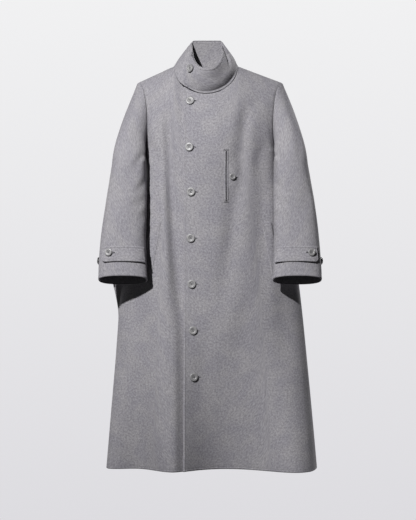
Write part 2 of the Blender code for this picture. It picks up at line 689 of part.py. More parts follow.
def make_side_pockets():
    """The slanting welts of the side pockets."""
    share = np.linspace(0.0, 1.0, SIDE_WELT_ROWS + 1)
    z = SIDE_POCKET_TOP_Z + share * (SIDE_POCKET_BOTTOM_Z - SIDE_POCKET_TOP_Z)
    for name, (top_x, bottom_x) in (
        ("side_welt_left", SIDE_POCKET_LEFT_X),
        ("side_welt_right", SIDE_POCKET_RIGHT_X),
    ):
        edge = top_x + share * (bottom_x - top_x)
        across = np.linspace(0.0, math.copysign(SIDE_WELT_WIDTH, top_x), SIDE_WELT_COLUMNS + 1)
        x = edge[:, None] + across
        points, normal = on_front(x, np.broadcast_to(z[:, None], x.shape))
        strip(name, points, normal, WELT_LIFT, WELT_CLOTH)


def button_mesh(name, radius):
    """A turned button: flat back, round edge, raised rim and a dished middle."""
    shape = bmesh.new()
    profile = [(radius * ring.radius, 0.0, BUTTON_HEIGHT * ring.height) for ring in BUTTON_SECTION]
    points = [shape.verts.new(point) for point in profile]
    edges = [shape.edges.new(pair) for pair in zip(points, points[1:])]
    bmesh.ops.spin(
        shape,
        geom=points + edges,
        cent=(0, 0, 0),
        axis=(0, 0, 1),
        angle=2 * math.pi,
        steps=BUTTON_SIDES,
    )
    bmesh.ops.remove_doubles(shape, verts=shape.verts, dist=MERGE_DISTANCE)
    bmesh.ops.recalc_face_normals(shape, faces=shape.faces)
    mesh = bpy.data.meshes.new(name)
    shape.to_mesh(mesh)
    shape.free()
    mesh.shade_smooth()
    mesh.set_sharp_from_angle(angle=BUTTON_SHARP_ANGLE)
    mesh.materials.append(surface(f"{name}_horn", BUTTON_GREY, BUTTON_ROUGHNESS))
    return mesh


def place_button(name, mesh, point, normal, lift):
    return add_object(name, mesh, point + lift * normal, normal)


def make_buttons():
    """Buttons of the front, the collar, the chest pocket and the cuffs, each turned to face out of its cloth."""
    front = button_mesh("front_button", FRONT_BUTTON)
    cuff = button_mesh("cuff_button", CUFF_BUTTON)
    pocket = button_mesh("pocket_button", POCKET_BUTTON)
    for number, place in enumerate(FRONT_BUTTON_PLACES, start=1):
        point, normal = on_front(np.array(place.x), np.array(place.z))
        place_button(f"front_button_{number}", front, point, normal, BUTTON_STAND)
    point, normal = on_front(np.array(CHEST_BUTTON_X), np.array(CHEST_BUTTON_Z))
    place_button("chest_button", pocket, point, normal, CHEST_BUTTON_LIFT)
    steps = np.array((-COLLAR_PROBE, 0.0, COLLAR_PROBE))
    points, normals = collar_grid(COLLAR_BUTTON_SWEEP + steps, COLLAR_BUTTON_RISE + steps)
    place_button("collar_button", front, points[1, 1], normals[1, 1], COLLAR_BUTTON_LIFT)
    for word, side in (("left", 1.0), ("right", -1.0)):
        point, normal = sleeve_point(side, np.array(TAB_BUTTON_ANGLE), np.array(TAB_BUTTON_Z))
        place_button(f"tab_button_{word}", cuff, point, normal, TAB_BUTTON_LIFT)
        point, normal = sleeve_point(side, np.array(SPARE_BUTTON_ANGLE), np.array(SPARE_BUTTON_Z))
        place_button(f"spare_button_{word}", cuff, point, normal, BUTTON_STAND)


def clear_scene():
    for old in list(bpy.data.objects):
        bpy.data.objects.remove(old)


def main():
    clear_scene()
    make_left_front()
    make_right_front()
    make_back()
    make_collar()
    for word, side in (("left", 1.0), ("right", -1.0)):
        make_sleeve(f"sleeve_{word}", side)
        make_tab(f"cuff_tab_{word}", side)
    make_chest_pocket()
    make_side_pockets()
    make_buttons()


main()
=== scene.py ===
import math
import bmesh
import bpy
import numpy as np
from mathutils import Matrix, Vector


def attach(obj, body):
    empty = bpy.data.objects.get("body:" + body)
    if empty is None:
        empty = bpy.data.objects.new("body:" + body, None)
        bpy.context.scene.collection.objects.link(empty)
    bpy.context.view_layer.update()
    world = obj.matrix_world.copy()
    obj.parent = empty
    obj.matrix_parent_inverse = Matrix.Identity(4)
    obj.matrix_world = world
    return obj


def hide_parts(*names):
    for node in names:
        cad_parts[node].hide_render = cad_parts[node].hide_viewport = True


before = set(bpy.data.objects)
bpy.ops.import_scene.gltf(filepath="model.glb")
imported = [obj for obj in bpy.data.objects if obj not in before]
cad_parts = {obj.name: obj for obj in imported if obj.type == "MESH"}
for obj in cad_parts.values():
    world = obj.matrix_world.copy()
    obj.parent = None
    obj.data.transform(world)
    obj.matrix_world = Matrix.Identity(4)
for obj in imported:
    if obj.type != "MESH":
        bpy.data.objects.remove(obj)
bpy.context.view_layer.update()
print("frame loaded:", len(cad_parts), "solids")

mm = 0.001
pi = math.pi
bothSides = (("left", 1), ("right", -1))      # the wearer's left is +X
edgeRoundness = 0.32                          # how far a cloth edge rounds out, as a share of its thickness
threadUv = 0.5 * mm                           # UV length of a quad of thread


# small helpers

# nought below low, one above high, an easy S between
def easeStep(low, high, value):
    t = np.clip((value - low) / (high - low), 0.0, 1.0)
    return t * t * (3 - 2 * t)


# a bell of height one at nought
def bell(offset, width):
    return np.exp(-0.5 * (offset / width) ** 2)


def unit(vectors):
    return vectors / np.maximum(np.linalg.norm(vectors, axis=-1, keepdims=True), 1e-12)


# raises the size of a number to a power and keeps its sign
def signedPower(value, power):
    return np.sign(value) * np.abs(value) ** power


# a column of a table as a smooth curve of its first column: cubics whose slopes come from the neighbours
def through(table, column, at):
    xs = np.array(next(iter(table.values())), float)
    ys = np.array(table[column], float)
    slopes = np.gradient(ys, xs)
    at = np.clip(at, xs[0], xs[-1])
    i = np.clip(np.searchsorted(xs, at) - 1, 0, len(xs) - 2)
    wide = xs[i + 1] - xs[i]
    t = (at - xs[i]) / wide
    rise, start, end = ys[i + 1] - ys[i], slopes[i] * wide, slopes[i + 1] * wide
    return ys[i] + t * start + t**2 * (3 * rise - 2 * start - end) + t**3 * (start + end - 2 * rise)


# directions across a grid's face: the cross product of its rows and columns
def gridNormal(points, wrap=False):
    down = np.gradient(points, axis=0)
    if wrap:
        wide = np.concatenate([points[:, -1:], points, points[:, :1]], axis=1)
        across = np.gradient(wide, axis=1)[:, 1:-1]
    else:
        across = np.gradient(points, axis=1)
    return unit(np.cross(down, across))


# lengths run along a grid's lines, from its first row or column
def runLength(points, axis):
    step = np.linalg.norm(np.diff(points, axis=axis), axis=-1)
    pad = [(0, 0), (0, 0)]
    pad[axis] = (1, 0)
    return np.cumsum(np.pad(step, pad), axis=axis)


# corner indices of a grid's quads, and the same corners counted without wrapping for its UV map
def gridQuads(rows, cols, wrapRows=False, wrapCols=False):
    downs = np.arange(rows if wrapRows else rows - 1)
    acrosses = np.arange(cols if wrapCols else cols - 1)
    r, c = np.meshgrid(downs, acrosses, indexing="ij")
    rr = np.stack([r, r + 1, r + 1, r], -1).reshape(-1, 4)
    cc = np.stack([c, c, c + 1, c + 1], -1).reshape(-1, 4)
    return rr % rows * cols + cc % cols, rr, cc


def makePiece(name, points, polys, uvs, material):
    mesh = bpy.data.meshes.new(name)
    counts = np.concatenate([np.full(len(p), p.shape[1]) for p in polys])
    corners = np.concatenate([p.ravel() for p in polys]).astype(np.int32)
    mesh.vertices.add(len(points))
    mesh.vertices.foreach_set("co", np.asarray(points, np.float32).ravel())
    mesh.loops.add(len(corners))
    mesh.loops.foreach_set("vertex_index", corners)
    mesh.polygons.add(len(counts))
    mesh.polygons.foreach_set("loop_start", np.concatenate([[0], np.cumsum(counts)[:-1]]).astype(np.int32))
    mesh.update(calc_edges=True)
    layer = mesh.uv_layers.new(name="clothLength")
    layer.data.foreach_set("uv", np.concatenate([u.reshape(-1, 2) for u in uvs]).astype(np.float32).ravel())
    mesh.validate()
    mesh.shade_smooth()
    mesh.materials.append(material)
    piece = bpy.data.objects.new(name, mesh)
    bpy.context.collection.objects.link(piece)
    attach(piece, "root")
    return piece


# a cloth wall: outer rows, a rounded lower edge, inner rows back up, a rounded top edge, as one band that
# closes on itself; open sides get rounded caps. UV is the length along the cloth in metres
def clothShell(name, outer, inner, wrap, material):
    rows, cols = outer.shape[:2]

    def rim(here, beside, inside):
        wall = np.linalg.norm(here - inside, axis=-1, keepdims=True)
        return 0.5 * (here + inside) + edgeRoundness * wall * unit(here - beside)

    low = rim(outer[-1], outer[-2], inner[-1])
    top = rim(outer[0], outer[1], inner[0])
    band = np.concatenate([outer, low[None], inner[::-1], top[None]]).reshape(-1, 3)
    wide = np.concatenate([outer, outer[:, :1]], axis=1) if wrap else outer
    flatUv = np.stack([runLength(wide, 1), runLength(wide, 0)], -1)
    fromRow = np.concatenate([np.arange(rows), [rows - 1], np.arange(rows)[::-1], [0, 0]])
    quads, rr, cc = gridQuads(2 * rows + 2, cols, True, wrap)
    points, polys, uvs = [band], [quads], [flatUv[fromRow[rr], cc]]
    if not wrap:
        r = np.arange(rows - 1)
        last = rows - 1
        stripRows = np.concatenate([np.stack([r + 1, r, r, r + 1], -1),
                                    np.stack([r, r + 1, r + 1, r], -1)])
        endRows = np.repeat([0, 0, last, last], 3).reshape(4, 3)
        for col, beside, turn in ((0, 1, 1), (cols - 1, cols - 2, -1)):
            out = np.arange(rows) * cols + col
            ins = (2 * rows - np.arange(rows)) * cols + col
            mid = sum(len(p) for p in points) + np.arange(rows)
            lowLip, topLip = rows * cols + col, (2 * rows + 1) * cols + col
            points.append(rim(outer[:, col], outer[:, beside], inner[:, col]))
            strips = np.concatenate([np.stack([out[1:], out[:-1], mid[:-1], mid[1:]], -1),
                                     np.stack([ins[:-1], ins[1:], mid[1:], mid[:-1]], -1)])
            ends = np.array([[out[0], topLip, mid[0]], [topLip, ins[0], mid[0]],
                             [lowLip, out[last], mid[last]], [ins[last], lowLip, mid[last]]])
            polys += [strips[:, ::turn], ends[:, ::turn]]
            uvs += [flatUv[stripRows[:, ::turn], col], flatUv[endRows[:, ::turn], col]]
    first = band[quads[: (rows - 1) * (cols if wrap else cols - 1)]]
    facing = np.cross(first[:, 1] - first[:, 0], first[:, 3] - first[:, 0])
    outwards = (outer - inner)[:-1, : cols if wrap else cols - 1].reshape(-1, 3)
    if (facing * outwards).sum() < 0:
        polys, uvs = [p[:, ::-1] for p in polys], [u[:, ::-1] for u in uvs]
    return makePiece(name, np.concatenate(points), polys, uvs, material)


# round thread carried along many short paths at once: centres and up-directions are (paths, steps, 3)
def threadTubes(name, centres, up, radius, material, closed=False, sides=6, squash=1.0):
    paths, steps = centres.shape[:2]
    if closed:
        along = unit(np.roll(centres, -1, 1) - np.roll(centres, 1, 1))
    else:
        along = unit(np.gradient(centres, axis=1))
    beside = unit(np.cross(along, up))
    raised = unit(np.cross(beside, along))
    angle = np.linspace(0, 2 * pi, sides, endpoint=False)
    reach = np.broadcast_to(np.asarray(radius, float), (steps,))[None, :, None, None]
    ring = np.cos(angle)[:, None] * beside[:, :, None] + squash * np.sin(angle)[:, None] * raised[:, :, None]
    points = centres[:, :, None] + reach * ring
    quads, rr, cc = gridQuads(steps, sides, closed, True)
    offset = (np.arange(paths) * steps * sides)[:, None, None]
    polys = [(quads[None, :, ::-1] + offset).reshape(-1, 4)]
    flatUv = np.stack([rr, cc], -1)[None, :, ::-1] * threadUv
    uvs = [np.broadcast_to(flatUv, (paths, len(quads), 4, 2)).reshape(-1, 4, 2)]
    if not closed:
        lid = np.arange(sides)
        polys.append((np.stack([lid, (steps - 1) * sides + lid[::-1]])[None] + offset).reshape(-1, sides))
        uvs.append(np.zeros((2 * paths, sides, 2)))
    return makePiece(name, points.reshape(-1, 3), polys, uvs, material)


# equal stitches along a line on the cloth: each is a short arc that sinks in at its ends
def stitchArcs(line, normal, pitch=4.6 * mm, length=3.3 * mm, lift=0.25 * mm):
    run = runLength(line[None], 1)[0]
    count = max(int(run[-1] / pitch), 1)
    step = np.linspace(-0.5, 0.5, 5)
    at = (np.arange(count)[:, None] + 0.5) * run[-1] / count + step * length
    centre = np.stack([np.interp(at, run, line[:, k]) for k in range(3)], -1)
    up = unit(np.stack([np.interp(at, run, normal[:, k]) for k in range(3)], -1))
    return centre + (lift - 1.6 * lift * (2 * step) ** 4)[None, :, None] * up, up


def joinArcs(*runs):
    return np.concatenate([r[0] for r in runs]), np.concatenate([r[1] for r in runs])


# soft creases on a panel: each is a bowed trough or ridge, a low swell the other way each side, easy ends
def creaseField(creases, across, along):
    total = np.zeros(np.broadcast(across, along).shape)
    for x0, z0, x1, z1, width, depth, bow in creases:
        line = np.array([x1 - x0, z1 - z0])
        length = np.linalg.norm(line)
        ax, az = line / length
        t = ((across - x0) * ax + (along - z0) * az) / length
        off = (across - x0) * az - (along - z0) * ax - bow * 4 * t * (1 - t)
        fade = easeStep(-0.05, 0.35, t) * easeStep(1.05, 0.55, t)
        swells = 0.45 * bell(off - 2.3 * width, width) + 0.30 * bell(off + 2.4 * width, width)
        total += depth * fade * (bell(off, width) - swells)
    return total


# materials

def hexColour(text):
    part = np.array([int(text[i:i + 2], 16) for i in (1, 3, 5)]) / 255
    return (*np.where(part <= 0.04045, part / 12.92, ((part + 0.055) / 1.055) ** 2.4).tolist(), 1.0)


# adds a node with its settings; a socket given as a (node, output) pair is linked, anything else is set
def addNode(tree, kind, sockets=(), **settings):
    node = tree.nodes.new(kind)
    for key, value in settings.items():
        setattr(node, key, value)
    for key, value in dict(sockets).items():
        if isinstance(value, tuple) and isinstance(value[0], bpy.types.Node):
            tree.links.new(value[0].outputs[value[1]], node.inputs[key])
        else:
            node.inputs[key].default_value = value
    return node


def newMaterial(name):
    material = bpy.data.materials.new(name)
    material.use_nodes = True
    material.node_tree.nodes.clear()
    return material, material.node_tree


# a ramp of colours over another node's value
def addRamp(tree, source, stops):
    ramp = addNode(tree, "ShaderNodeValToRGB", {"Fac": source})
    bar = ramp.color_ramp
    while len(bar.elements) < len(stops):
        bar.elements.new(0.5)
    for element, (place, colour) in zip(bar.elements, stops):
        element.position = place
        element.color = hexColour(colour)
    return ramp


# noise with grains of a given size, flat on the cloth or all through a solid
def addNoise(tree, vector, size, more, space="2D"):
    sockets = {"Vector": vector, "Scale": 1 / size, **more}
    return addNode(tree, "ShaderNodeTexNoise", sockets, noise_dimensions=space)


# bands at a given spacing; at scale one they lie 2 pi / 20 apart
def addWave(tree, vector, spacing, more):
    return addNode(tree, "ShaderNodeTexWave", {"Vector": vector, "Scale": 2 * pi / (20 * spacing), **more})


def addBlend(tree, share, one, other):
    return addNode(tree, "ShaderNodeMix", {0: share, 2: one, 3: other}, data_type="FLOAT")


def addBump(tree, height, strength, distance):
    return addNode(tree, "ShaderNodeBump", {"Height": height, "Strength": strength, "Distance": distance})


# the shader and the output that end a material
def endMaterial(material, sockets):
    shader = addNode(material.node_tree, "ShaderNodeBsdfPrincipled", sockets)
    addNode(material.node_tree, "ShaderNodeOutputMaterial", {"Surface": (shader, 0)})
    return material


wool = {
    "dark": "#646266", "shade": "#777579", "main": "#888689", "pale": "#9e9d9f",
    "fleck": 5.5 * mm,      # melange flecks are about 1 mm; drawn at 5.5 mm so that they show
    "fibre": 1.5 * mm,      # nap fibres, about 0.3 mm thick, drawn five times as coarse
    "twill": 3.2 * mm,      # twill ribs are about 1.2 mm apart; drawn wider, and very low under the nap
    "cloud": 55 * mm,       # slow unevenness of the pressed cloth
}


# melton wool coating of mixed dark and pale fibres, milled and brushed: soft flecks, no gloss, a pale bloom
def makeWool(name, cut):
    material, tree = newMaterial(name)
    place = addNode(tree, "ShaderNodeUVMap", uv_map="clothLength")
    fleck = addNoise(tree, (place, 0), cut["fleck"], {"Detail": 4.0, "Roughness": 0.72})
    yarns = []
    for stretch in ((1.0, 0.34, 1.0), (0.34, 1.0, 1.0)):      # warp runs down the cloth, weft across it
        along = addNode(tree, "ShaderNodeMapping", {"Vector": (place, 0), "Scale": stretch})
        grain = {"Detail": 3.0, "Roughness": 0.6, "Distortion": 0.5}
        yarns.append(addNoise(tree, (along, 0), cut["fibre"], grain))
    fibre = addBlend(tree, 0.5, (yarns[0], 0), (yarns[1], 0))
    cloud = addNoise(tree, (place, 0), cut["cloud"], {"Detail": 2.0})
    turned = addNode(tree, "ShaderNodeMapping", {"Vector": (place, 0), "Rotation": (0, 0, math.radians(63))})
    twill = addWave(tree, (turned, 0), cut["twill"], {"Distortion": 1.6, "Detail": 2.0, "Detail Scale": 3.0})
    mixed = addBlend(tree, 0.40, (fleck, 0), (fibre, 0))
    tone = addRamp(tree, (mixed, 0), [(0.30, cut["dark"]), (0.43, cut["shade"]),
                                      (0.54, cut["main"]), (0.72, cut["pale"])])
    veil = addRamp(tree, (cloud, 0), [(0.35, "#f2f2f6"), (0.65, "#ffffff")])
    colour = addNode(tree, "ShaderNodeMix", {0: 1.0, 6: (tone, 0), 7: (veil, 0)},
                     data_type="RGBA", blend_type="MULTIPLY")
    rough = addNode(tree, "ShaderNodeMapRange", {"Value": (fibre, 0), "To Min": 0.82, "To Max": 0.98})
    nap = addBlend(tree, 0.18, (mixed, 0), (twill, 1))
    bump = addBump(tree, (nap, 0), 0.55, 0.9 * mm)
    return endMaterial(material, {
        "Base Color": (colour, 2), "Roughness": (rough, 0), "Normal": (bump, 0), "Specular IOR Level": 0.18,
        "Sheen Weight": 0.10, "Sheen Roughness": 0.50, "Sheen Tint": hexColour("#e6e4ea")})


thread = {"dark": "#646267", "pale": "#8b898e", "twist": 1.1 * mm}
# the button thread is drawn near-black: painted shade for the dark middles of the buttons' holes
shadedThread = {"dark": "#2f2e31", "pale": "#4d4c50", "twist": 1.1 * mm}


# spun polyester sewing thread: twisted plies catch a little light along each turn
def makeThread(name, cut):
    material, tree = newMaterial(name)
    place = addNode(tree, "ShaderNodeUVMap", uv_map="clothLength")
    turned = addNode(tree, "ShaderNodeMapping", {"Vector": (place, 0), "Rotation": (0, 0, 0.7)})
    ply = addWave(tree, (turned, 0), cut["twist"], {"Distortion": 0.4})
    tone = addRamp(tree, (ply, 1), [(0.2, cut["dark"]), (0.8, cut["pale"])])
    bump = addBump(tree, (ply, 1), 0.4, 0.15 * mm)
    return endMaterial(material, {"Base Color": (tone, 0), "Normal": (bump, 0), "Roughness": 0.6,
                                  "Specular IOR Level": 0.35, "Sheen Weight": 0.1})


# near-black colours of a painted shadow, put where the slits only hold shade
slitShadow = {"dark": "#17171a", "pale": "#232327", "mottle": 1.4 * mm}


# painted shadow: a near-black strip for the slits of the chest pocket and the buttonholes, where there is
# only shade; a faint mottle over it
def makeSlitShadow(name, cut):
    material, tree = newMaterial(name)
    place = addNode(tree, "ShaderNodeUVMap", uv_map="clothLength")
    mottle = addNoise(tree, (place, 0), cut["mottle"], {"Detail": 2.0})
    tone = addRamp(tree, (mottle, 0), [(0.3, cut["dark"]), (0.7, cut["pale"])])
    bump = addBump(tree, (mottle, 0), 0.3, 0.2 * mm)
    return endMaterial(material, {"Base Color": (tone, 0), "Normal": (bump, 0), "Roughness": 0.95,
                                  "Specular IOR Level": 0.1})


horn = {"dark": "#666567", "main": "#7a797a", "pale": "#8b8a89", "streak": 7 * mm, "scratch": 1.2 * mm}
# the same horn painted near-black for the spare buttons: painted shade, as they sit in shadow at the sleeve's
# back edge
shadedHorn = {"dark": "#1d1d1e", "main": "#2a2a2b", "pale": "#3b3a3b", "streak": 7 * mm, "scratch": 1.2 * mm}


# turned and dyed buffalo horn: cloudy streaks through the disc, a half-polished rim with fine turning marks
def makeHorn(name, cut):
    material, tree = newMaterial(name)
    place = addNode(tree, "ShaderNodeTexCoord")
    along = addNode(tree, "ShaderNodeMapping", {"Vector": (place, 3), "Scale": (1.0, 1.0, 0.35),
                                                "Rotation": (0.2, 0.5, 0.3)})
    cloudy = {"Detail": 4.0, "Roughness": 0.6, "Distortion": 1.2}
    streak = addNoise(tree, (along, 0), cut["streak"], cloudy, "3D")
    tone = addRamp(tree, (streak, 0), [(0.30, cut["dark"]), (0.52, cut["main"]), (0.70, cut["pale"])])
    scratch = addNoise(tree, (place, 3), cut["scratch"], {"Detail": 2.0}, "3D")
    rough = addNode(tree, "ShaderNodeMapRange", {"Value": (scratch, 0), "To Min": 0.34, "To Max": 0.50})
    bump = addBump(tree, (scratch, 0), 0.12, 0.1 * mm)
    return endMaterial(material, {"Base Color": (tone, 0), "Roughness": (rough, 0), "Normal": (bump, 0),
                                  "IOR": 1.54, "Coat Weight": 0.15, "Coat Roughness": 0.2})


woolCloth = makeWool("meltonWool", wool)
sewingThread = makeThread("polyesterThread", thread)
buttonThreadShade = makeThread("buttonThreadPaintedShade", shadedThread)
# painted shadow for the slits of the pocket and the buttonholes
slitShadowPaint = makeSlitShadow("paintedSlitShadow", slitShadow)
greyHorn = makeHorn("turnedHorn", horn)
paintedShadeHorn = makeHorn("turnedHornPaintedShade", shadedHorn)
print("materials made")


# the body's form, as the solids have it

body = {
    "hemZ": -1.187, "shoulderX": 0.217, "shoulderZ": -0.033, "underarmX": 0.206, "underarmZ": -0.234,
    "neckX": -0.012, "neckHalf": 0.096, "neckZ": 0.017, "frontDrop": 0.090, "backDrop": 0.023,
    "roundFront": 0.300, "roundBack": 0.070, "frontDip": 0.024, "backDip": 0.008,
    "lapX": -0.076, "underlapX": -0.026, "lapEase": 0.030, "lapFull": 0.004,
    "cloth": 2.5 * mm, "lapGap": 3.2 * mm,
    "backPower": 0.56, "foldFade": 0.40, "edgeEase": 0.060, "probe": 0.0001,
}
bodyCut = {
    "height":   [-1.187, -0.900, -0.624, -0.384, -0.295, -0.234, -0.135, -0.033, 0.040],
    "centreX":  [0.005, 0.004, 0.001, 0, 0, 0, 0, 0, 0],
    "halfWide": [0.316, 0.291, 0.265, 0.227, 0.209, 0.206, 0.224, 0.248, 0.248],
    "sideY":    [0.004, 0.006, 0.007, 0.006, 0.005, 0.004, 0.003, 0.001, 0],
    "front":    [0.076, 0.092, 0.106, 0.113, 0.115, 0.115, 0.113, 0.108, 0.104],
    "back":     [0.027, 0.027, 0.027, 0.027, 0.026, 0.026, 0.025, 0.024, 0.024],
    "round":    [0.36, 0.52, 0.64, 0.61, 0.57, 0.54, 0.50, 0.50, 0.50],
}
# top x, top z, bottom x, bottom z, widths, depths (minus is a ridge), fade in, fade out
frontFolds = [
    (-0.155, -0.090, -0.112, -1.187, 0.022, 0.048, -0.007, -0.042, 0.120, 0),
    (-0.125, -0.090, -0.090, -0.800, 0.012, 0.015, 0.013, 0.015, 0.120, 0.200),
    (-0.236, -0.780, -0.211, -1.187, 0.040, 0.046, 0, 0.040, 0.060, 0),
    (0.108, -0.080, 0.029, -0.780, 0.014, 0.022, 0.010, 0.007, 0.100, 0.250),
    (0.040, -0.700, 0.044, -1.187, 0.060, 0.078, 0, 0.046, 0.060, 0),
    (0.240, -0.680, 0.262, -1.187, 0.060, 0.062, 0, -0.060, 0.060, 0)]
backFolds = [
    (-0.120, -0.400, -0.160, -1.187, 0.040, 0.052, 0, -0.018, 0.100, 0),
    (0.000, -0.250, 0.020, -1.187, 0.030, 0.055, 0, 0.016, 0.100, 0),
    (0.110, -0.480, 0.175, -1.187, 0.040, 0.055, 0, -0.015, 0.100, 0)]
pleat = {"reach": 0.056, "z": -0.560, "above": 0.150, "below": 0.085, "angle": math.radians(-107),
         "spread": math.radians(11), "fade": 0.22}


# bells across x whose line, width and depth run evenly from top to bottom
def foldShift(folds, x, z):
    total = np.zeros(np.broadcast(x, z).shape)
    for topX, topZ, lowX, lowZ, topWide, lowWide, topDeep, lowDeep, fadeIn, fadeOut in folds:
        t = np.clip((z - topZ) / (lowZ - topZ), 0, 1)
        fade = easeStep(topZ + 0.020, topZ + 0.020 - fadeIn, z)
        if fadeOut:
            fade = fade * easeStep(lowZ, lowZ + fadeOut, z)
        depth = topDeep + t**1.5 * (lowDeep - topDeep)
        total = total + depth * fade * bell(x - topX - t * (lowX - topX), topWide + t * (lowWide - topWide))
    return total


def ridgeHeight(x):
    past = np.clip(np.abs(x - body["neckX"]) - body["neckHalf"], 0, None)
    reach = body["shoulderX"] - body["neckHalf"] - body["neckX"] * np.sign(x - body["neckX"])
    return body["neckZ"] + past / reach * (body["shoulderZ"] - body["neckZ"])


def shoulderRound(drop, reach):
    return (1 - (1 - np.clip(drop / reach, 0, 1)) ** 2.2) ** 0.62


# the body by angle round and height: half-width times sine, depth times a power of the cosine, plus folds
def bodyPoint(angle, z):
    wide, sideY, facing = through(bodyCut, "halfWide", z), through(bodyCut, "sideY", z), np.cos(angle)
    x = through(bodyCut, "centreX", z) + wide * np.sin(angle)
    settled = easeStep(0, body["foldFade"], np.abs(facing))
    front = sideY - through(bodyCut, "front", z) * np.abs(facing) ** (2 * through(bodyCut, "round", z))
    back = sideY + through(bodyCut, "back", z) * np.abs(facing) ** body["backPower"]
    drop = ridgeHeight(x) - z
    front = (front + settled * foldShift(frontFolds, x, z)) * shoulderRound(drop, body["roundFront"])
    back = (back - settled * foldShift(backFolds, x, z)) * shoulderRound(drop, body["roundBack"])
    turn = (angle + pi) % (2 * pi) - pi
    tall = np.where(z > pleat["z"], pleat["above"], pleat["below"])
    puff = bell(turn - pleat["angle"], pleat["spread"]) * bell(z - pleat["z"], tall)
    x = x - pleat["reach"] * puff * easeStep(0, pleat["fade"], -facing)
    return np.stack(np.broadcast_arrays(x, np.where(facing > 0, front, back), z), -1)


def bodyNormal(angle, z):
    step = body["probe"]
    across = bodyPoint(angle + step, z) - bodyPoint(angle - step, z)
    return unit(np.cross(bodyPoint(angle, z - step) - bodyPoint(angle, z), across))


def frontAngle(x, z):
    return np.arcsin(np.clip((x - through(bodyCut, "centreX", z)) / through(bodyCut, "halfWide", z), -1, 1))


def armholeX(share, dip):
    bow = np.clip(4 * share * (1 - share), 0, 1) ** 0.4
    return body["shoulderX"] + share * (body["underarmX"] - body["shoulderX"]) - dip * bow


def sideAngle(z, dip):
    share = np.clip((body["shoulderZ"] - z) / (body["shoulderZ"] - body["underarmZ"]), 0, 1)
    edge = np.minimum(armholeX(share, dip) / through(bodyCut, "halfWide", z), 1)
    return np.where(z <= body["underarmZ"] + body["probe"], pi / 2, np.arcsin(edge))


def easySideAngle(z):
    shoulder = frontAngle(body["shoulderX"], body["shoulderZ"])
    share = easeStep(body["shoulderZ"], body["underarmZ"] - body["edgeEase"], z)
    return shoulder + share * (pi / 2 - shoulder)


def neckHeight(x, drop):
    return body["neckZ"] - drop * np.sqrt(1 - np.clip((x - body["neckX"]) / body["neckHalf"], -1, 1) ** 2)


panelGrid = {
    "yokeRows": 56, "skirtRows": 150,
    # distances from a free edge inwards, and shares of the shoulder that come closer towards a seam
    "edgeSteps": np.array([0, 0.7, 1.5, 2.4, 3.6, 4.8, 5.6, 6.2, 6.8, 7.6, 8.8, 10.6, 13, 16]) * mm,
    "sideShares": np.array([0.955, 0.968, 0.978, 0.986, 0.992, 0.996, 1.0]),
}


# rows close at the shoulder and underarm, even down the skirt, close again at the hem
def rowHeights(topZ):
    share = 0.5 - 0.5 * np.cos(np.linspace(0, pi, panelGrid["yokeRows"] + 1))
    steps = panelGrid["edgeSteps"]
    skirt = np.linspace(body["underarmZ"], body["hemZ"] + steps[-1], panelGrid["skirtRows"] + 1)[1:]
    skirt = np.concatenate([skirt, body["hemZ"] + steps[::-1][1:]])
    yoke = topZ + share[:, None] * (body["underarmZ"] - topZ)
    return np.concatenate([yoke, np.broadcast_to(skirt[:, None], (len(skirt), len(topZ)))])


def topHeights(topX, drop):
    inNeck = np.abs(topX - body["neckX"]) < body["neckHalf"]
    return np.where(inNeck, neckHeight(topX, drop), ridgeHeight(topX))


# angles and heights of half a panel, from its free edge or middle line to one side
def halfPanel(edgeX, side, drop, dip, neckCount, shoulderCount):
    reach = np.array([edgeX, body["neckX"] + side * body["neckHalf"]]) - body["neckX"]
    ends = np.arcsin(np.clip(reach / body["neckHalf"], -1, 1))
    neck = body["neckX"] + body["neckHalf"] * np.sin(np.linspace(*ends, neckCount + 1))
    shares = np.concatenate([np.linspace(0, 0.94, shoulderCount + 1)[1:], panelGrid["sideShares"]])
    topX = np.concatenate([neck, neck[-1] + shares * (side * body["shoulderX"] - neck[-1])])
    topZ = topHeights(topX, drop)
    z = rowHeights(topZ)
    start, end = frontAngle(edgeX, z), side * easySideAngle(z)
    share = (frontAngle(topX, topZ) - start[0]) / (end[0] - start[0])
    past = np.clip(np.abs(topX - body["neckX"]) - body["neckHalf"], 0, None)
    toEdge = side * sideAngle(z[:, -1:], dip) - end[:, -1:]
    return start + share * (end - start) + past / past[-1] * toEdge, z


# columns at set distances from a front's free edge
def edgeColumns(edgeX, side, drop):
    x = edgeX + side * panelGrid["edgeSteps"][:-1]
    z = rowHeights(neckHeight(x, drop))
    return frontAngle(x, z), z


# a free edge rolls down; a seam dips with a swell beside it; a stitch row draws in with a pad outside it
edgeFinish = {
    "roll": 0.9 * mm, "rollWide": 3.2 * mm, "seamDip": 0.8 * mm, "topDip": 0.35 * mm, "seamWide": 2.2 * mm,
    "swell": 0.2 * mm, "swellAt": 7 * mm, "swellWide": 3 * mm, "inset": 6.2 * mm, "draw": 0.55 * mm,
    "drawWide": 0.9 * mm, "pad": 0.30 * mm, "padAt": 3 * mm, "padWide": 1.6 * mm}


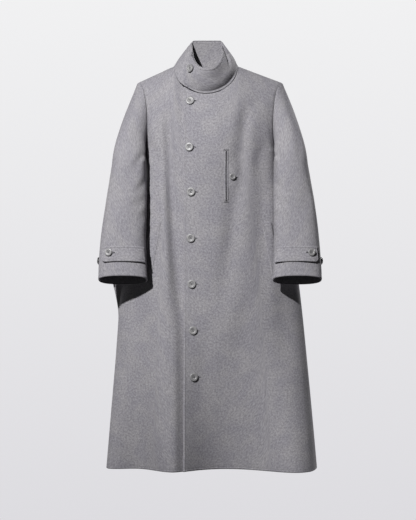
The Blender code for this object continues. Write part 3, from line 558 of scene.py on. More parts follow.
# small relief near a panel's edges, and how far each point is from each edge
def edgeRelief(points, free=(), seams=(), stitched=(), inset=edgeFinish["inset"]):
    cut = edgeFinish
    far = {"first": runLength(points, 1), "top": runLength(points, 0)}
    far["last"] = far["first"][:, -1:] - far["first"]
    far["bottom"] = far["top"][-1:] - far["top"]
    relief = np.zeros(points.shape[:2])
    for edge in free:
        relief -= cut["roll"] * np.clip(1 - far[edge] / cut["rollWide"], 0, 1) ** 2
    for edge in seams:
        dip = cut["topDip"] if edge == "top" else cut["seamDip"]
        relief -= dip * bell(far[edge], cut["seamWide"])
        relief += cut["swell"] * bell(far[edge] - cut["swellAt"], cut["swellWide"])
    for edge in stitched:
        relief -= cut["draw"] * bell(far[edge] - inset, cut["drawWide"])
        relief += cut["pad"] * bell(far[edge] - cut["padAt"], cut["padWide"])
    return relief, far


# slow unevenness of hung cloth: three crossing waves of different lengths
def hangWaves(x, z, lift=0.5 * mm):
    waves = np.sin(31 * x + 9 * z + 0.6) + 0.8 * np.sin(17 * x - 23 * z + 2.1)
    return lift * (waves + 0.6 * np.sin(53 * x + 37 * z))


# fronts and back

leftFront = {
    # x, z of one end, x, z of the other, width, height, bow; minus is a trough
    "creases": [
        (0.186, -0.175, 0.128, -0.330, 0.010, -1.1 * mm, 0.006),
        (0.196, -0.232, 0.152, -0.420, 0.012, -1.0 * mm, -0.008),
        (0.178, -0.080, 0.188, -0.760, 0.015, 6.0 * mm, 0),      # the cloth stands forward beside the sleeve
        (0.0745, -0.262, 0.0725, -0.376, 0.011, 4.2 * mm, 0),    # and lies flat under the chest button
        (0.150, -0.060, 0.100, -0.205, 0.013, -1.6 * mm, 0.005),
        (0.020, -0.130, 0.070, -0.260, 0.012, -1.0 * mm, -0.006),
        (0.120, -0.640, 0.092, -0.900, 0.020, -2.4 * mm, 0.010),
        (0.205, -0.660, 0.222, -0.930, 0.018, -2.0 * mm, -0.008),
        (-0.005, -0.720, -0.020, -1.000, 0.016, -1.6 * mm, 0.004),
        (0.060, -0.440, 0.110, -0.600, 0.016, -1.4 * mm, 0.008)],
    "foldedEdge": 2.0 * mm, "hemTurn": 1.2 * mm, "neckCols": 46, "shoulderCols": 46}
rightFront = {
    "creases": [
        (-0.190, -0.190, -0.140, -0.330, 0.010, -2.4 * mm, -0.006),
        (-0.196, -0.236, -0.170, -0.420, 0.012, -2.0 * mm, 0.006),
        (-0.160, -0.055, -0.118, -0.150, 0.011, -1.2 * mm, 0.004),
        (-0.190, -0.640, -0.215, -0.860, 0.018, -2.0 * mm, 0.008),
        (-0.135, -0.860, -0.140, -1.100, 0.016, -1.4 * mm, -0.004),
        (-0.130, -0.110, -0.083, -0.800, 0.012, -3.4 * mm, 0),
        (-0.176, -0.080, -0.186, -0.760, 0.013, 6.0 * mm, 0)],
    "hemTurn": 1.2 * mm, "neckCols": 36, "shoulderCols": 46}
backPanel = {
    "creases": [
        (-0.188, -0.180, -0.120, -0.300, 0.014, -2.4 * mm, 0.006),
        (0.190, -0.190, 0.110, -0.330, 0.013, -2.2 * mm, -0.008),
        (-0.060, -0.050, 0.070, -0.064, 0.012, -1.4 * mm, -0.004),
        (-0.090, -0.380, 0.010, -0.470, 0.018, -1.8 * mm, 0.010),
        (0.020, -0.430, 0.130, -0.500, 0.017, -1.6 * mm, -0.006),
        (-0.030, -0.600, -0.060, -0.900, 0.020, -1.8 * mm, 0.008),
        (0.150, -0.600, 0.140, -0.860, 0.020, -2.0 * mm, -0.006)],
    "hemTurn": 1.2 * mm, "neckCols": 34, "shoulderCols": 44}


def pulledIn(points, edges, gap=0.4 * mm):
    points = points.copy()
    spot = {"top": (np.s_[0], np.s_[1]), "first": (np.s_[:, 0], np.s_[:, 1]),
            "last": (np.s_[:, -1], np.s_[:, -2])}
    for edge in edges:
        here, beside = spot[edge]
        points[here] = points[here] + gap * unit(points[beside] - points[here])
    return points


# where the double cloth of a hem and of a folded edge ends, and how far creases keep off the edges
turning = {"hemFrom": 0.042, "hemFull": 0.036, "edgeFrom": 0.011, "edgeFull": 0.007, "quiet": 0.030}


# a body panel: the body's surface, sunk where it lies under the lap, plus creases, edge relief and slow waves
def bodyPanel(name, node, cut, angle, z, sink, free, seams, stitched):
    normal = bodyNormal(angle, z)
    base = bodyPoint(angle, z)
    relief, far = edgeRelief(base, free, seams, stitched)
    x = base[..., 0]
    quiet = easeStep(0, turning["quiet"], np.minimum.reduce([far["top"], far["last"], far["first"]]))
    relief = relief + quiet * (creaseField(cut["creases"], x, z) + hangWaves(x, z))
    outer = pulledIn(base + (relief - sink)[..., None] * normal, seams)
    wall = body["cloth"] + cut["hemTurn"] * easeStep(turning["hemFrom"], turning["hemFull"], far["bottom"])
    if "foldedEdge" in cut:
        wall = wall + cut["foldedEdge"] * easeStep(turning["edgeFrom"], turning["edgeFull"], far["first"])
    piece = clothShell(name, outer, outer - wall[..., None] * normal, False, woolCloth)
    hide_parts(node)
    return piece, outer, normal


def sheetFacts(outer, wrap=False):
    wide = np.concatenate([outer, outer[:, :1]], axis=1) if wrap else outer
    edgeA, edgeB = np.diff(wide, axis=1)[:-1], np.diff(wide, axis=0)[:, :-1]
    area = np.linalg.norm(np.cross(edgeA, edgeB), axis=-1).sum()
    flat = float(runLength(wide, 1)[:, -1].max()), float(runLength(wide, 0)[-1].max())
    return {"flat": (round(flat[0], 3), round(flat[1], 3)), "area": round(float(area), 4)}


# angles and heights of a whole front, from its free edge to its side seam
def frontGrid(edgeX, side, cut):
    edge = edgeColumns(edgeX, side, body["frontDrop"])
    main = halfPanel(edgeX + side * panelGrid["edgeSteps"][-1], side, body["frontDrop"], body["frontDip"],
                     cut["neckCols"], cut["shoulderCols"])
    return [np.concatenate(pair, 1) for pair in zip(edge, main)]


angle, z = frontGrid(body["lapX"], 1, leftFront)
leftPiece, leftOuter, leftNormal = bodyPanel(
    "leftFrontCloth", "front_left", leftFront, angle, z, np.zeros_like(z),
    ("first", "bottom"), ("top", "last"), ("first", "bottom"))

angle, z = frontGrid(body["underlapX"], -1, rightFront)
x = bodyPoint(angle, z)[..., 0]
underLap = easeStep(body["lapX"] - body["lapEase"], body["lapX"] - body["lapFull"], x)
rightPiece, rightOuter, rightNormal = bodyPanel(
    "rightFrontCloth", "front_right", rightFront, angle, z, (body["cloth"] + body["lapGap"]) * underLap,
    ("first", "bottom"), ("top", "last"), ("bottom",))

halves = [halfPanel(body["neckX"], side, body["backDrop"], body["backDip"],
                    backPanel["neckCols"], backPanel["shoulderCols"]) for side in (-1, 1)]
angle, z = [np.concatenate([one[:, ::-1], other[:, 1:]], 1) for one, other in zip(*halves)]
backPiece, backOuter, backNormal = bodyPanel(
    "backCloth", "back", backPanel, pi - angle, z, np.zeros_like(z),
    ("bottom",), ("top", "first", "last"), ("bottom",))
print("fronts and back made")


# sleeves

sleeve = {
    "fall": (0.06, -0.17, -0.98), "flatX": 0.88, "flatY": 0.74, "around": 132, "crownRows": 44, "armRows": 96,
    # the front falls inwards over the lower armhole: how far, angle round and share down, their widths
    "drape": 8 * mm, "drapeAngle": 2.45, "drapeWide": 0.45, "drapeShare": 0.52, "drapeTall": 0.22,
    "drapeEase": 0.12, "radius": 0.062, "inset": 12 * mm, "quietTop": 0.040, "quietLow": 0.060,
    "wave": 0.6 * mm, "pucker": 0.35 * mm, "puckerAt": 9 * mm, "puckerWide": 6 * mm, "seamGap": 0.6 * mm,
    "hemTurn": 1.2 * mm, "hemFrom": 0.045, "hemFull": 0.038, "seamShares": [0, 0.006, 0.013, 0.022, 0.034],
    # distance round from the middle of the front, height, the same of the other end, width, height, bow
    "creases": [
        (-0.060, -0.130, -0.015, -0.300, 0.012, -2.0 * mm, 0.006),
        (0.050, -0.190, 0.012, -0.330, 0.010, -2.4 * mm, -0.005),
        (0.085, -0.330, 0.020, -0.385, 0.010, -2.4 * mm, 0.004),
        (0.080, -0.375, 0.010, -0.420, 0.011, -1.8 * mm, -0.004),
        (0.090, -0.430, 0.035, -0.455, 0.010, -1.6 * mm, 0.003),
        (-0.050, -0.340, 0.000, -0.460, 0.014, -1.4 * mm, 0.006),
        (-0.150, -0.300, -0.110, -0.420, 0.013, -1.6 * mm, 0.005),
        (0.150, -0.240, 0.130, -0.400, 0.013, -1.8 * mm, -0.006)]}
sleeveCut = {
    "height": [-0.6225, -0.5340, -0.3840, -0.2800],
    "outerX": [0.3270, 0.3235, 0.3050, 0.2880],
    "innerX": [0.1830, 0.1875, 0.1870, 0.1885],
    "y":      [-0.112, -0.099, -0.082, -0.071],
    "half":   [0.037, 0.042, 0.046, 0.047],
    "tilt":   [0.36, 0.22, 0.12, 0.06],
}
# which way the sleeve's cloth leaves the armhole, by degrees round it from the shoulder to the front
seamLeave = {
    "degrees": [0, 50, 90, 135, 180, 225, 290, 360],
    "out":     [0.36, 0.36, 0.16, 0.26, 0.82, 0.85, 0.72, 0.36],
    "back":    [-0.08, -0.38, -0.52, -0.66, -0.30, -0.06, 0.06, -0.08],
    "up":      [-0.93, -0.85, -0.84, -0.70, -0.50, -0.53, -0.69, -0.93],
}


def armholePoint(side, around):
    share = 0.5 - 0.5 * np.cos(around)
    z = body["shoulderZ"] + share * (body["underarmZ"] - body["shoulderZ"])
    inFront = np.sin(around) >= 0
    angle = frontAngle(armholeX(share, np.where(inFront, body["frontDip"], body["backDip"])), z)
    angle = np.where(share > 0.9999, pi / 2, angle)
    angle = side * np.where(inFront, angle, pi - angle)
    return bodyPoint(angle, z), bodyNormal(angle, z)


# a flattened oval across (cosine and sine to powers below one), its middle line bent forward, each ring
# tipped so that the front hangs lower
def hangingPoint(side, around, height):
    outer, inner = through(sleeveCut, "outerX", height), through(sleeveCut, "innerX", height)
    across = signedPower(np.cos(around), sleeve["flatX"])
    offY = -through(sleeveCut, "half", height) * signedPower(np.sin(around), sleeve["flatY"])
    x = side * (0.5 * (outer + inner) + 0.5 * (outer - inner) * across)
    y = through(sleeveCut, "y", height) + offY
    z = height - through(sleeveCut, "tilt", height) * offY
    return np.stack(np.broadcast_arrays(x, y, z), -1)


# cubic from the armhole to the arm, leaving along seamLeave and arriving along the fall
def crownPoint(side, around, share):
    start = armholePoint(side, around)[0]
    end = hangingPoint(side, around, np.full_like(around, sleeveCut["height"][-1]))
    leave = np.stack([through(seamLeave, key, np.degrees(around)) for key in ("out", "back", "up")], -1)
    mirror = np.array([side, 1, 1])
    span = np.linalg.norm(end - start, axis=-1, keepdims=True)
    leave, arrive = unit(leave) * mirror * span, np.array(sleeve["fall"]) * mirror * span
    t = np.asarray(share)[..., None]
    ends = (1 - 3 * t**2 + 2 * t**3) * start + (3 * t**2 - 2 * t**3) * end
    return ends + (t - 2 * t**2 + t**3) * leave + (t**3 - t**2) * arrive


def sleevePoint(side, around, height):
    step = body["probe"]
    across = hangingPoint(side, around + step, height) - hangingPoint(side, around - step, height)
    down = hangingPoint(side, around, height - step) - hangingPoint(side, around, height + step)
    return hangingPoint(side, around, height), unit(side * np.cross(across, down))


def makeSleeve(name, node, side):
    ring = np.linspace(0, 2 * pi, sleeve["around"], endpoint=False)
    shares = np.concatenate([sleeve["seamShares"], np.linspace(0.05, 1, sleeve["crownRows"])])
    steps = panelGrid["edgeSteps"]
    low, high = sleeveCut["height"][0], sleeveCut["height"][-1]
    arm = np.linspace(high, low + steps[-1], sleeve["armRows"] + 1)[1:]
    heights = np.concatenate([arm, low + steps[::-1][1:]])
    around, share = np.meshgrid(ring, shares)
    crown = crownPoint(side, around, share)
    place = bell(around - sleeve["drapeAngle"], sleeve["drapeWide"])
    place = place * bell(share - sleeve["drapeShare"], sleeve["drapeTall"])
    crown[..., 0] -= side * sleeve["drape"] * place * easeStep(0, sleeve["drapeEase"], share)
    armAround, armHeight = np.meshgrid(ring, heights)
    base = np.concatenate([crown, hangingPoint(side, armAround, armHeight)])
    level = np.concatenate([body["shoulderZ"] + shares * (high - body["shoulderZ"]), heights])[:, None]
    # near the armhole the cloth's own direction is blended with the one away from the ring's middle
    normal = -side * gridNormal(base, True)
    radial = unit(base - base.mean(axis=1, keepdims=True))
    mixing = easeStep(0.15, 1.0, np.concatenate([shares, np.ones(len(heights))]))[:, None, None]
    normal = unit(normal * (0.35 + 0.65 * mixing) + radial * 0.65 * (1 - mixing))
    roundAngle = (np.concatenate([around, armAround]) - pi / 2 + pi) % (2 * pi) - pi
    relief, far = edgeRelief(base, ("bottom",), ("top",), ("bottom",), sleeve["inset"])
    quiet = easeStep(0, sleeve["quietTop"], far["top"]) * easeStep(0, sleeve["quietLow"], far["bottom"])
    wave = np.sin(3 * roundAngle + 21 * level + side) + 0.7 * np.sin(5 * roundAngle - 34 * level)
    creases = creaseField(sleeve["creases"], roundAngle * sleeve["radius"], level)
    relief = relief + quiet * (creases + sleeve["wave"] * wave)
    # the eased sleeve head puckers a little below its seam
    headOnly = bell(far["top"] - sleeve["puckerAt"], sleeve["puckerWide"])
    relief = relief + sleeve["pucker"] * np.sin(23 * roundAngle + 1.3 * side) * headOnly
    outer = base + relief[..., None] * normal
    outer[0] = outer[0] + sleeve["seamGap"] * unit(outer[1] - outer[0])
    wall = body["cloth"] + sleeve["hemTurn"] * easeStep(sleeve["hemFrom"], sleeve["hemFull"], far["bottom"])
    piece = clothShell(name, outer, outer - wall[..., None] * normal, True, woolCloth)
    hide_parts(node)
    return piece, outer, normal


sleeves = {word: makeSleeve(f"{word}SleeveCloth", f"sleeve_{word}", side) for word, side in bothSides}
print("sleeves made")


# collar

collar = {
    "start": math.radians(6), "sweep": math.radians(408), "lean": math.radians(38),
    "leanFrom": math.radians(340), "underEnd": math.radians(64), "underFull": math.radians(49.5),
    "topX": -0.0088, "topHalf": 0.0475, "backY": 0.010, "sideY": -0.020, "frontY": -0.106, "backZ": 0.0945,
    "frontZ": -0.004, "corner": 0.20, "frontCurve": 0.80, "roll": 4 * mm, "cloth": 4 * mm, "gap": 0.8 * mm,
    "creaseTop": math.radians(98), "creaseEnd": math.radians(66), "creaseRise": 0.45,
    "creaseWide": math.radians(6), "creaseDeep": 7 * mm, "columns": 300, "rows": 44, "meanRadius": 0.085,
    "seamRoll": 2.3 * mm, "seamDip": 0.9 * mm, "endGap": 3.0 * mm, "gapTurn": -31, "gapWide": 8,
    # degrees round: from here on the upper layer counts as front, and the middle and width of its overhang
    "layerFrom": -284, "layerFull": -304, "overTurn": -315, "overWide": 28, "over": 3.2 * mm,
    "under": 1.5 * mm,
    # turn in degrees, rise, the same of the other end, width in degrees, height
    "buckles": [
        (40, 0.20, 8, 0.75, 7, -1.4 * mm), (-20, 0.10, -6, 0.55, 6, -1.0 * mm),
        (-62, 0.15, -84, 0.70, 9, -1.6 * mm), (150, 0.20, 172, 0.85, 9, -1.3 * mm),
        (212, 0.15, 200, 0.80, 8, -1.2 * mm)]}


def collarBase(turn):
    x = body["neckX"] + body["neckHalf"] * np.sin(turn)
    inFront = np.cos(turn) > 0
    z = body["neckZ"] - np.where(inFront, body["frontDrop"], body["backDrop"]) * np.abs(np.cos(turn))
    angle = frontAngle(x, z)
    return bodyPoint(np.where(inFront, angle, pi - angle), z)


# upper edge: flat back, two peaks at the sides, a round front that droops
def collarTop(turn):
    facing, swing = np.cos(turn), np.sin(turn)
    power = np.where(facing > 0, collar["frontCurve"], collar["corner"])
    x = collar["topX"] + collar["topHalf"] * signedPower(swing, power)
    front = collar["sideY"] + (collar["frontY"] - collar["sideY"]) * np.abs(facing)
    back = collar["sideY"] + (collar["backY"] - collar["sideY"]) * np.abs(facing) ** collar["corner"]
    y = np.where(facing > 0, front, back)
    slope = (collar["frontZ"] - collar["backZ"]) / (collar["frontY"] - collar["backY"])
    return np.stack([x, y, collar["backZ"] + slope * (y - collar["backY"])], -1)


# straight lines from neck seam to upper edge, rolled out a little, the crease and the under layer sunk in
def collarGrid(sweep, rise):
    lean = collar["lean"] * rise[:, None]
    turn = collar["start"] - sweep - lean * easeStep(collar["leanFrom"], collar["sweep"], sweep)
    base, top = collarBase(turn), collarTop(turn)
    points = base + rise[:, None, None] * (top - base)
    normal = gridNormal(points)
    along = (rise[:, None] - collar["creaseRise"]) / (1 - collar["creaseRise"])
    line = collar["creaseEnd"] + along * (collar["creaseTop"] - collar["creaseEnd"])
    offLine = (turn + 2 * pi) % (2 * pi) - line
    crease = collar["creaseDeep"] * bell(offLine, collar["creaseWide"]) * easeStep(-0.1, 0.5, along)
    under = easeStep(collar["underEnd"] + lean, collar["underFull"] + lean, sweep)
    sink = (collar["cloth"] + collar["gap"]) * under
    roll = (collar["roll"] * 4 * rise * (1 - rise))[:, None]
    return points + (roll - crease - sink)[..., None] * normal, normal


edgeSteps = panelGrid["edgeSteps"]
sweep = np.linspace(0, collar["sweep"], collar["columns"] + 1)
sweep = np.concatenate([sweep[:-6], collar["sweep"] - edgeSteps[::-1] / collar["meanRadius"]])
rise = np.concatenate([[0, 0.008, 0.018, 0.03, 0.045, 0.065], np.linspace(0.09, 0.86, collar["rows"]),
                       [0.88, 0.90, 0.915, 0.93, 0.945, 0.96, 0.975, 0.99, 1.0]])
collarBaseGrid, collarNormal = collarGrid(sweep, rise)
relief, far = edgeRelief(collarBaseGrid, ("bottom", "last"), (), ("bottom", "last"))
turnDegrees = np.degrees(collar["start"] - sweep)[None, :]
for t0, r0, t1, r1, wide, height in collar["buckles"]:
    share = (rise[:, None] - r0) / (r1 - r0)
    offLine = (turnDegrees - t0 - share * (t1 - t0) + 180) % 360 - 180
    ends = easeStep(-0.2, 0.3, share) * easeStep(1.2, 0.7, share)
    relief = relief + height * bell(offLine, wide) * ends
# one on the upper layer across the front, nought round the back
inFrontLayer = easeStep(collar["layerFrom"], collar["layerFull"], turnDegrees)
seamRoll = collar["seamRoll"] * bell(far["top"] - 2.2 * mm, 1.7 * mm)
seamRoll = seamRoll - collar["seamDip"] * bell(far["top"] - 7.5 * mm, 2.4 * mm)
relief = relief + (0.15 + 0.85 * inFrontLayer) * seamRoll
# the lapped front leans over its own seam
overhang = collar["over"] * bell(rise - 0.38, 0.14) - collar["under"] * bell(rise - 0.12, 0.07)
relief = relief + overhang[:, None] * bell(turnDegrees - collar["overTurn"], collar["overWide"])
collarOuter = collarBaseGrid + relief[..., None] * collarNormal
low = 1 - easeStep(0, 12 * mm, far["top"])
opening = collar["endGap"] * bell(turnDegrees + 360 - collar["gapTurn"], collar["gapWide"])
opening = opening + collar["gap"] * inFrontLayer
collarOuter = collarOuter + (low * opening)[..., None] * unit(collarOuter[-1] - collarOuter[0])
collarInner = collarOuter - collar["cloth"] * collarNormal
collarPiece = clothShell("collarCloth", collarOuter, collarInner, False, woolCloth)
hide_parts("collar")
print("collar made")


# cuff tabs and pocket welts

tab = {"tip": math.radians(38), "root": math.radians(152), "topZ": -0.532, "lowZ": -0.579, "length": 0.120,
       "wide": 0.047, "lift": 3.5 * mm, "cloth": 2.5 * mm, "rest": 0.7 * mm, "corner": 13 * mm,
       "cornerReach": 0.85, "cols": 84, "rows": 30}


# shares of a length: close steps at both ends, even between
def closeEnds(length, start, count):
    ends = edgeSteps[:-2] / length
    return np.concatenate([ends, np.linspace(start, 1 - start, count), 1 - ends[::-1]])


# the sleeve's surface moved out, standing off along its lower edge; the tip's lower corner is a quarter round
def makeTab(name, node, side):
    edge = closeEnds(tab["length"], 0.09, tab["cols"])
    drop = closeEnds(tab["wide"], 0.26, tab["rows"])
    across, down = np.meshgrid(edge, drop)
    fromTip = (1 - across) * tab["length"]
    short = np.clip(1 - fromTip / tab["corner"], 0, 1)
    lost = (1 - np.sqrt(np.clip(1 - short**2, 0, 1))) * tab["corner"] / tab["wide"]
    height = tab["topZ"] + down * (1 - lost * tab["cornerReach"]) * (tab["lowZ"] - tab["topZ"])
    around = tab["root"] + across * (tab["tip"] - tab["root"])
    points, normal = sleevePoint(side, around, height)
    share = (tab["topZ"] - height) / (tab["topZ"] - tab["lowZ"])
    flare = tab["lift"] * share**1.4 * (1 + 0.35 * np.sin(9 * across + 1.2 * side))
    relief = edgeRelief(points, ("top", "bottom", "last"), (), ("top", "bottom", "last"))[0]
    inner = points + (tab["rest"] + flare)[..., None] * normal
    outer = inner + (tab["cloth"] + relief)[..., None] * normal
    piece = clothShell(name, outer, inner, False, woolCloth)
    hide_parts(node)
    return piece, outer, normal


def onFront(x, z):
    angle = frontAngle(x, z)
    return bodyPoint(angle, z), bodyNormal(angle, z)


# the same with a front's own creases and waves, for what lies on its cloth
def onCloth(cut, x, z):
    points, normal = onFront(x, z)
    return points + (creaseField(cut["creases"], x, z) + hangWaves(x, z))[..., None] * normal, normal


tabs = {word: makeTab(f"{word}CuffTab", f"cuff_tab_{word}", side) for word, side in bothSides}

pocket = {"slitX": 0.0475, "topZ": -0.245, "lowZ": -0.391, "weltWide": 5.8 * mm, "slitWide": 1.6 * mm,
          "stand": 1.7 * mm, "rest": 0.3 * mm, "inset": 4.5 * mm, "chestCrown": 0.2 * mm, "chestSlope": 0.70,
          "sideTopZ": -0.452, "sideLowZ": -0.623, "leftX": (0.153, 0.183), "rightX": (-0.145, -0.173),
          "sideWide": 26 * mm, "sideCrown": 0.4 * mm, "slitShadowHalf": 1.4 * mm, "slitShadowTop": 1.1 * mm,
          "slitShadowLow": 0.2 * mm, "tackOut": 3.5 * mm, "tackApart": 1.6 * mm, "tackHalf": 8 * mm,
          "tackLift": 0.5 * mm}


# a strip of the front's surface, moved out to lie on it, crowned across, rounded at its free edges and
# sloping down to its far edge where a seam holds it
def makeWelt(name, node, cut, x, z, crown, free, stitched, slope=0.0):
    points, normal = onCloth(cut, x, z)
    relief, far = edgeRelief(points, free, (), stitched, pocket["inset"])
    half = 0.5 * (far["first"] + far["last"])
    bulge = crown * (1 - ((far["first"] - half) / np.maximum(half, 1e-6)) ** 2)
    inner = points + pocket["rest"] * normal
    stand = pocket["stand"] * (1 - slope * far["first"] / far["first"][:, -1:])
    outer = points + (stand + bulge + relief)[..., None] * normal
    piece = clothShell(name, outer, inner, False, woolCloth)
    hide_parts(node)
    return piece, outer, normal


welts = {}
chestZ = np.linspace(pocket["topZ"], pocket["lowZ"], 90)
for word, side in (("front", -1), ("side", 1)):
    near = pocket["slitX"] + side * 0.5 * pocket["slitWide"]
    x, z = np.meshgrid(np.linspace(near, near + side * pocket["weltWide"], 9), chestZ)
    welts[word] = makeWelt(f"chestWelt{word.title()}", f"chest_welt_{word}", leftFront, x, z,
                           pocket["chestCrown"], ("first", "top", "bottom"), (), pocket["chestSlope"])
# a near-black strip between the welts paints the shadow of the pocket's slit
x, z = np.meshgrid(pocket["slitX"] + np.linspace(-1, 1, 5) * pocket["slitShadowHalf"], chestZ)
points, normal = onCloth(leftFront, x, z)
slitPiece = clothShell("chestSlitShadow", points + pocket["slitShadowTop"] * normal,
                       points + pocket["slitShadowLow"] * normal, False, slitShadowPaint)
share = np.linspace(0, 1, 110)[:, None]
across = np.concatenate([edgeSteps, [20 * mm, 23 * mm, pocket["sideWide"]]])
for word, side, cut in (("left", 1, leftFront), ("right", -1, rightFront)):
    topX, lowX = pocket[f"{word}X"]
    x = topX + share * (lowX - topX) + side * across
    z = np.broadcast_to(pocket["sideTopZ"] + share * (pocket["sideLowZ"] - pocket["sideTopZ"]), x.shape)
    welts[word] = makeWelt(f"{word}PocketWelt", f"side_welt_{word}", cut, x, z, pocket["sideCrown"],
                           ("first", "last", "top", "bottom"), ("first", "top", "bottom"))
print("tabs and pockets made")


# buttons

button = {
    "frontRadius": 12.5 * mm, "cuffRadius": 11 * mm, "pocketRadius": 9.5 * mm, "height": 4.5 * mm,
    "stand": 1.2 * mm, "sides": 72, "uvStep": 0.3 * mm,
    "frontX": [-0.0587, -0.0606, -0.0557, -0.0565, -0.0540, -0.0500, -0.0485],
    "frontZ": [-0.0945, -0.2325, -0.3636, -0.4997, -0.6345, -0.7706, -0.9080],
    "collarSweep": math.radians(388.5), "collarRise": 0.735, "tabAngle": math.radians(60), "tabZ": -0.551,
    "spareAngle": math.radians(-14), "spareZ": -0.563, "chestX": 0.0645, "chestZ": -0.319, "chestTurn": 1.5,
    "holeOut": 0.15, "holeSize": 0.095, "holeDeep": 0.40, "barSteps": 7, "barRise": 0.45 * mm,
    "barSink": 1.3 * mm, "barRadius": 0.6 * mm, "shankSteps": 5, "shankRadius": 1.9 * mm}
# half section from the face's middle over the rim to the back's middle, in shares of radius and height
buttonTurn = {
    "step":   [0, 1, 2, 3, 4, 5, 6, 7, 8, 9, 10, 11, 12],
    "radius": [0, 0.16, 0.30, 0.42, 0.49, 0.56, 0.70, 0.86, 0.965, 1.0, 0.965, 0.86, 0],
    "height": [0.66, 0.66, 0.67, 0.70, 0.79, 0.94, 1.0, 0.97, 0.80, 0.48, 0.18, 0.0, 0.0],
}


# a turned profile carried round the axis, with four dimples deep enough to read as thread holes
def makeButton(name, node, point, axes, radius):
    axisX, axisY, normal = axes
    steps = np.concatenate([np.linspace(0, 2.4, 17), np.linspace(2.55, 10.8, 34), [11, 11.4, 12]])
    rho, level = through(buttonTurn, "radius", steps), through(buttonTurn, "height", steps)
    angle = np.linspace(0, 2 * pi, button["sides"], endpoint=False)
    px, py = rho[:, None] * np.cos(angle), rho[:, None] * np.sin(angle)
    dents = np.zeros_like(px)
    for sx, sy in ((1, 1), (1, -1), (-1, 1), (-1, -1)):
        off = np.hypot(px - sx * button["holeOut"], py - sy * button["holeOut"])
        dents += easeStep(button["holeSize"] * 1.25, button["holeSize"] * 0.75, off)
    onFace = (steps < 3)[:, None]
    height = level[:, None] - button["holeDeep"] * onFace * np.clip(dents, 0, 1)
    disc = px[..., None] * axisX + py[..., None] * axisY
    grid = point + radius * disc + button["height"] * height[..., None] * normal
    quads, rr, cc = gridQuads(len(steps), button["sides"], False, True)
    uv = np.stack([rr, cc], -1) * button["uvStep"]
    # spare buttons take the near-black copy, which paints the shade they lie in
    material = paintedShadeHorn if "Spare" in name else greyHorn
    piece = makePiece(name, grid.reshape(-1, 3), [quads], [uv], material)
    bmeshClean(piece.data)
    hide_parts(node)


# two bars of thread across a button's holes, sinking in at their ends
def threadBars(point, axes, radius):
    axisX, axisY, normal = axes
    out = button["holeOut"] * radius
    bow = np.linspace(-1, 1, button["barSteps"])[:, None]
    face = button["height"] * buttonTurn["height"][0]
    rise = face + button["barRise"] - button["barSink"] * np.abs(bow) ** 4
    return [point + s * out * axisY + bow * out * axisX + rise * normal for s in (-1, 1)]


# merges the points that meet at the two poles and turns the faces outwards
def bmeshClean(mesh):
    shape = bmesh.new()
    shape.from_mesh(mesh)
    bmesh.ops.remove_doubles(shape, verts=shape.verts, dist=1e-6)
    bmesh.ops.recalc_face_normals(shape, faces=shape.faces)
    shape.to_mesh(mesh)
    shape.free()
    mesh.shade_smooth()


seats = []
acrossRight = np.array([1.0, 0, 0])


# a button's place on the cloth, radius and stand, the way its buttonhole runs, the hole's length and lift
def addSeat(name, node, place, radius, stand, along, hole=0, lift=0):
    point, normal = place
    axisX = unit(along - (along @ normal) * normal)
    axes = (axisX, np.cross(normal, axisX), normal)
    seats.append({"name": name, "node": node, "point": point, "axes": axes,
                  "radius": radius, "stand": stand, "hole": hole, "lift": lift})


for number, (x, z) in enumerate(zip(button["frontX"], button["frontZ"]), start=1):
    addSeat(f"frontButton{number}", f"front_button_{number}", onCloth(leftFront, np.array(x), np.array(z)),
            button["frontRadius"], button["stand"], acrossRight, 19 * mm, 0.55 * mm)
point, normal = onCloth(leftFront, np.array(button["chestX"]), np.array(button["chestZ"]))
normal = unit(normal + np.array([0, -button["chestTurn"], 0]))      # turned further to the front
addSeat("chestButton", "chest_button", (point, normal), button["pocketRadius"], button["stand"],
        acrossRight, 13 * mm, 0.5 * mm)
nearby = np.array([-0.01, 0, 0.01])
points, normals = collarGrid(button["collarSweep"] + nearby, button["collarRise"] + nearby)
addSeat("collarButton", "collar_button", (points[1, 1], normals[1, 1]), button["frontRadius"],
        2 * button["stand"], acrossRight)
for word, side in bothSides:
    addSeat(f"{word}TabButton", f"tab_button_{word}",
            sleevePoint(side, np.array(button["tabAngle"]), np.array(button["tabZ"])), button["cuffRadius"],
            tab["cloth"] + 3 * button["stand"], -side * acrossRight, 17 * mm, tab["cloth"] + 2.6 * mm)
    addSeat(f"{word}SpareButton", f"spare_button_{word}",
            sleevePoint(side, np.array(button["spareAngle"]), np.array(button["spareZ"])),
            button["cuffRadius"], button["stand"], np.array([0.0, -1, 0]))

bars, barUps, shanks, shankUps = [], [], [], []
for seat in seats:
    axisX, normal = seat["axes"][::2]
    under = seat["point"] + seat["stand"] * normal
    makeButton(seat["name"], seat["node"], under, seat["axes"], seat["radius"])
    bars += threadBars(under, seat["axes"], seat["radius"])
    barUps += [np.broadcast_to(normal, (button["barSteps"], 3))] * 2
    shank = np.linspace(-0.4 * mm, seat["stand"] + 0.2 * mm, button["shankSteps"])
    shanks.append(seat["point"] + shank[:, None] * normal)
    shankUps.append(np.broadcast_to(axisX, (button["shankSteps"], 3)))
# the near-black button thread paints the shade in the buttons' holes
threadTubes("buttonThreads", np.stack(bars), np.stack(barUps), button["barRadius"], buttonThreadShade)
threadTubes("buttonShanks", np.stack(shanks), np.stack(shankUps), button["shankRadius"], buttonThreadShade,
            sides=12)
print("buttons made:", len(seats))


# buttonholes: a corded, closely stitched loop round a slit that holds a near-black strip of painted shadow

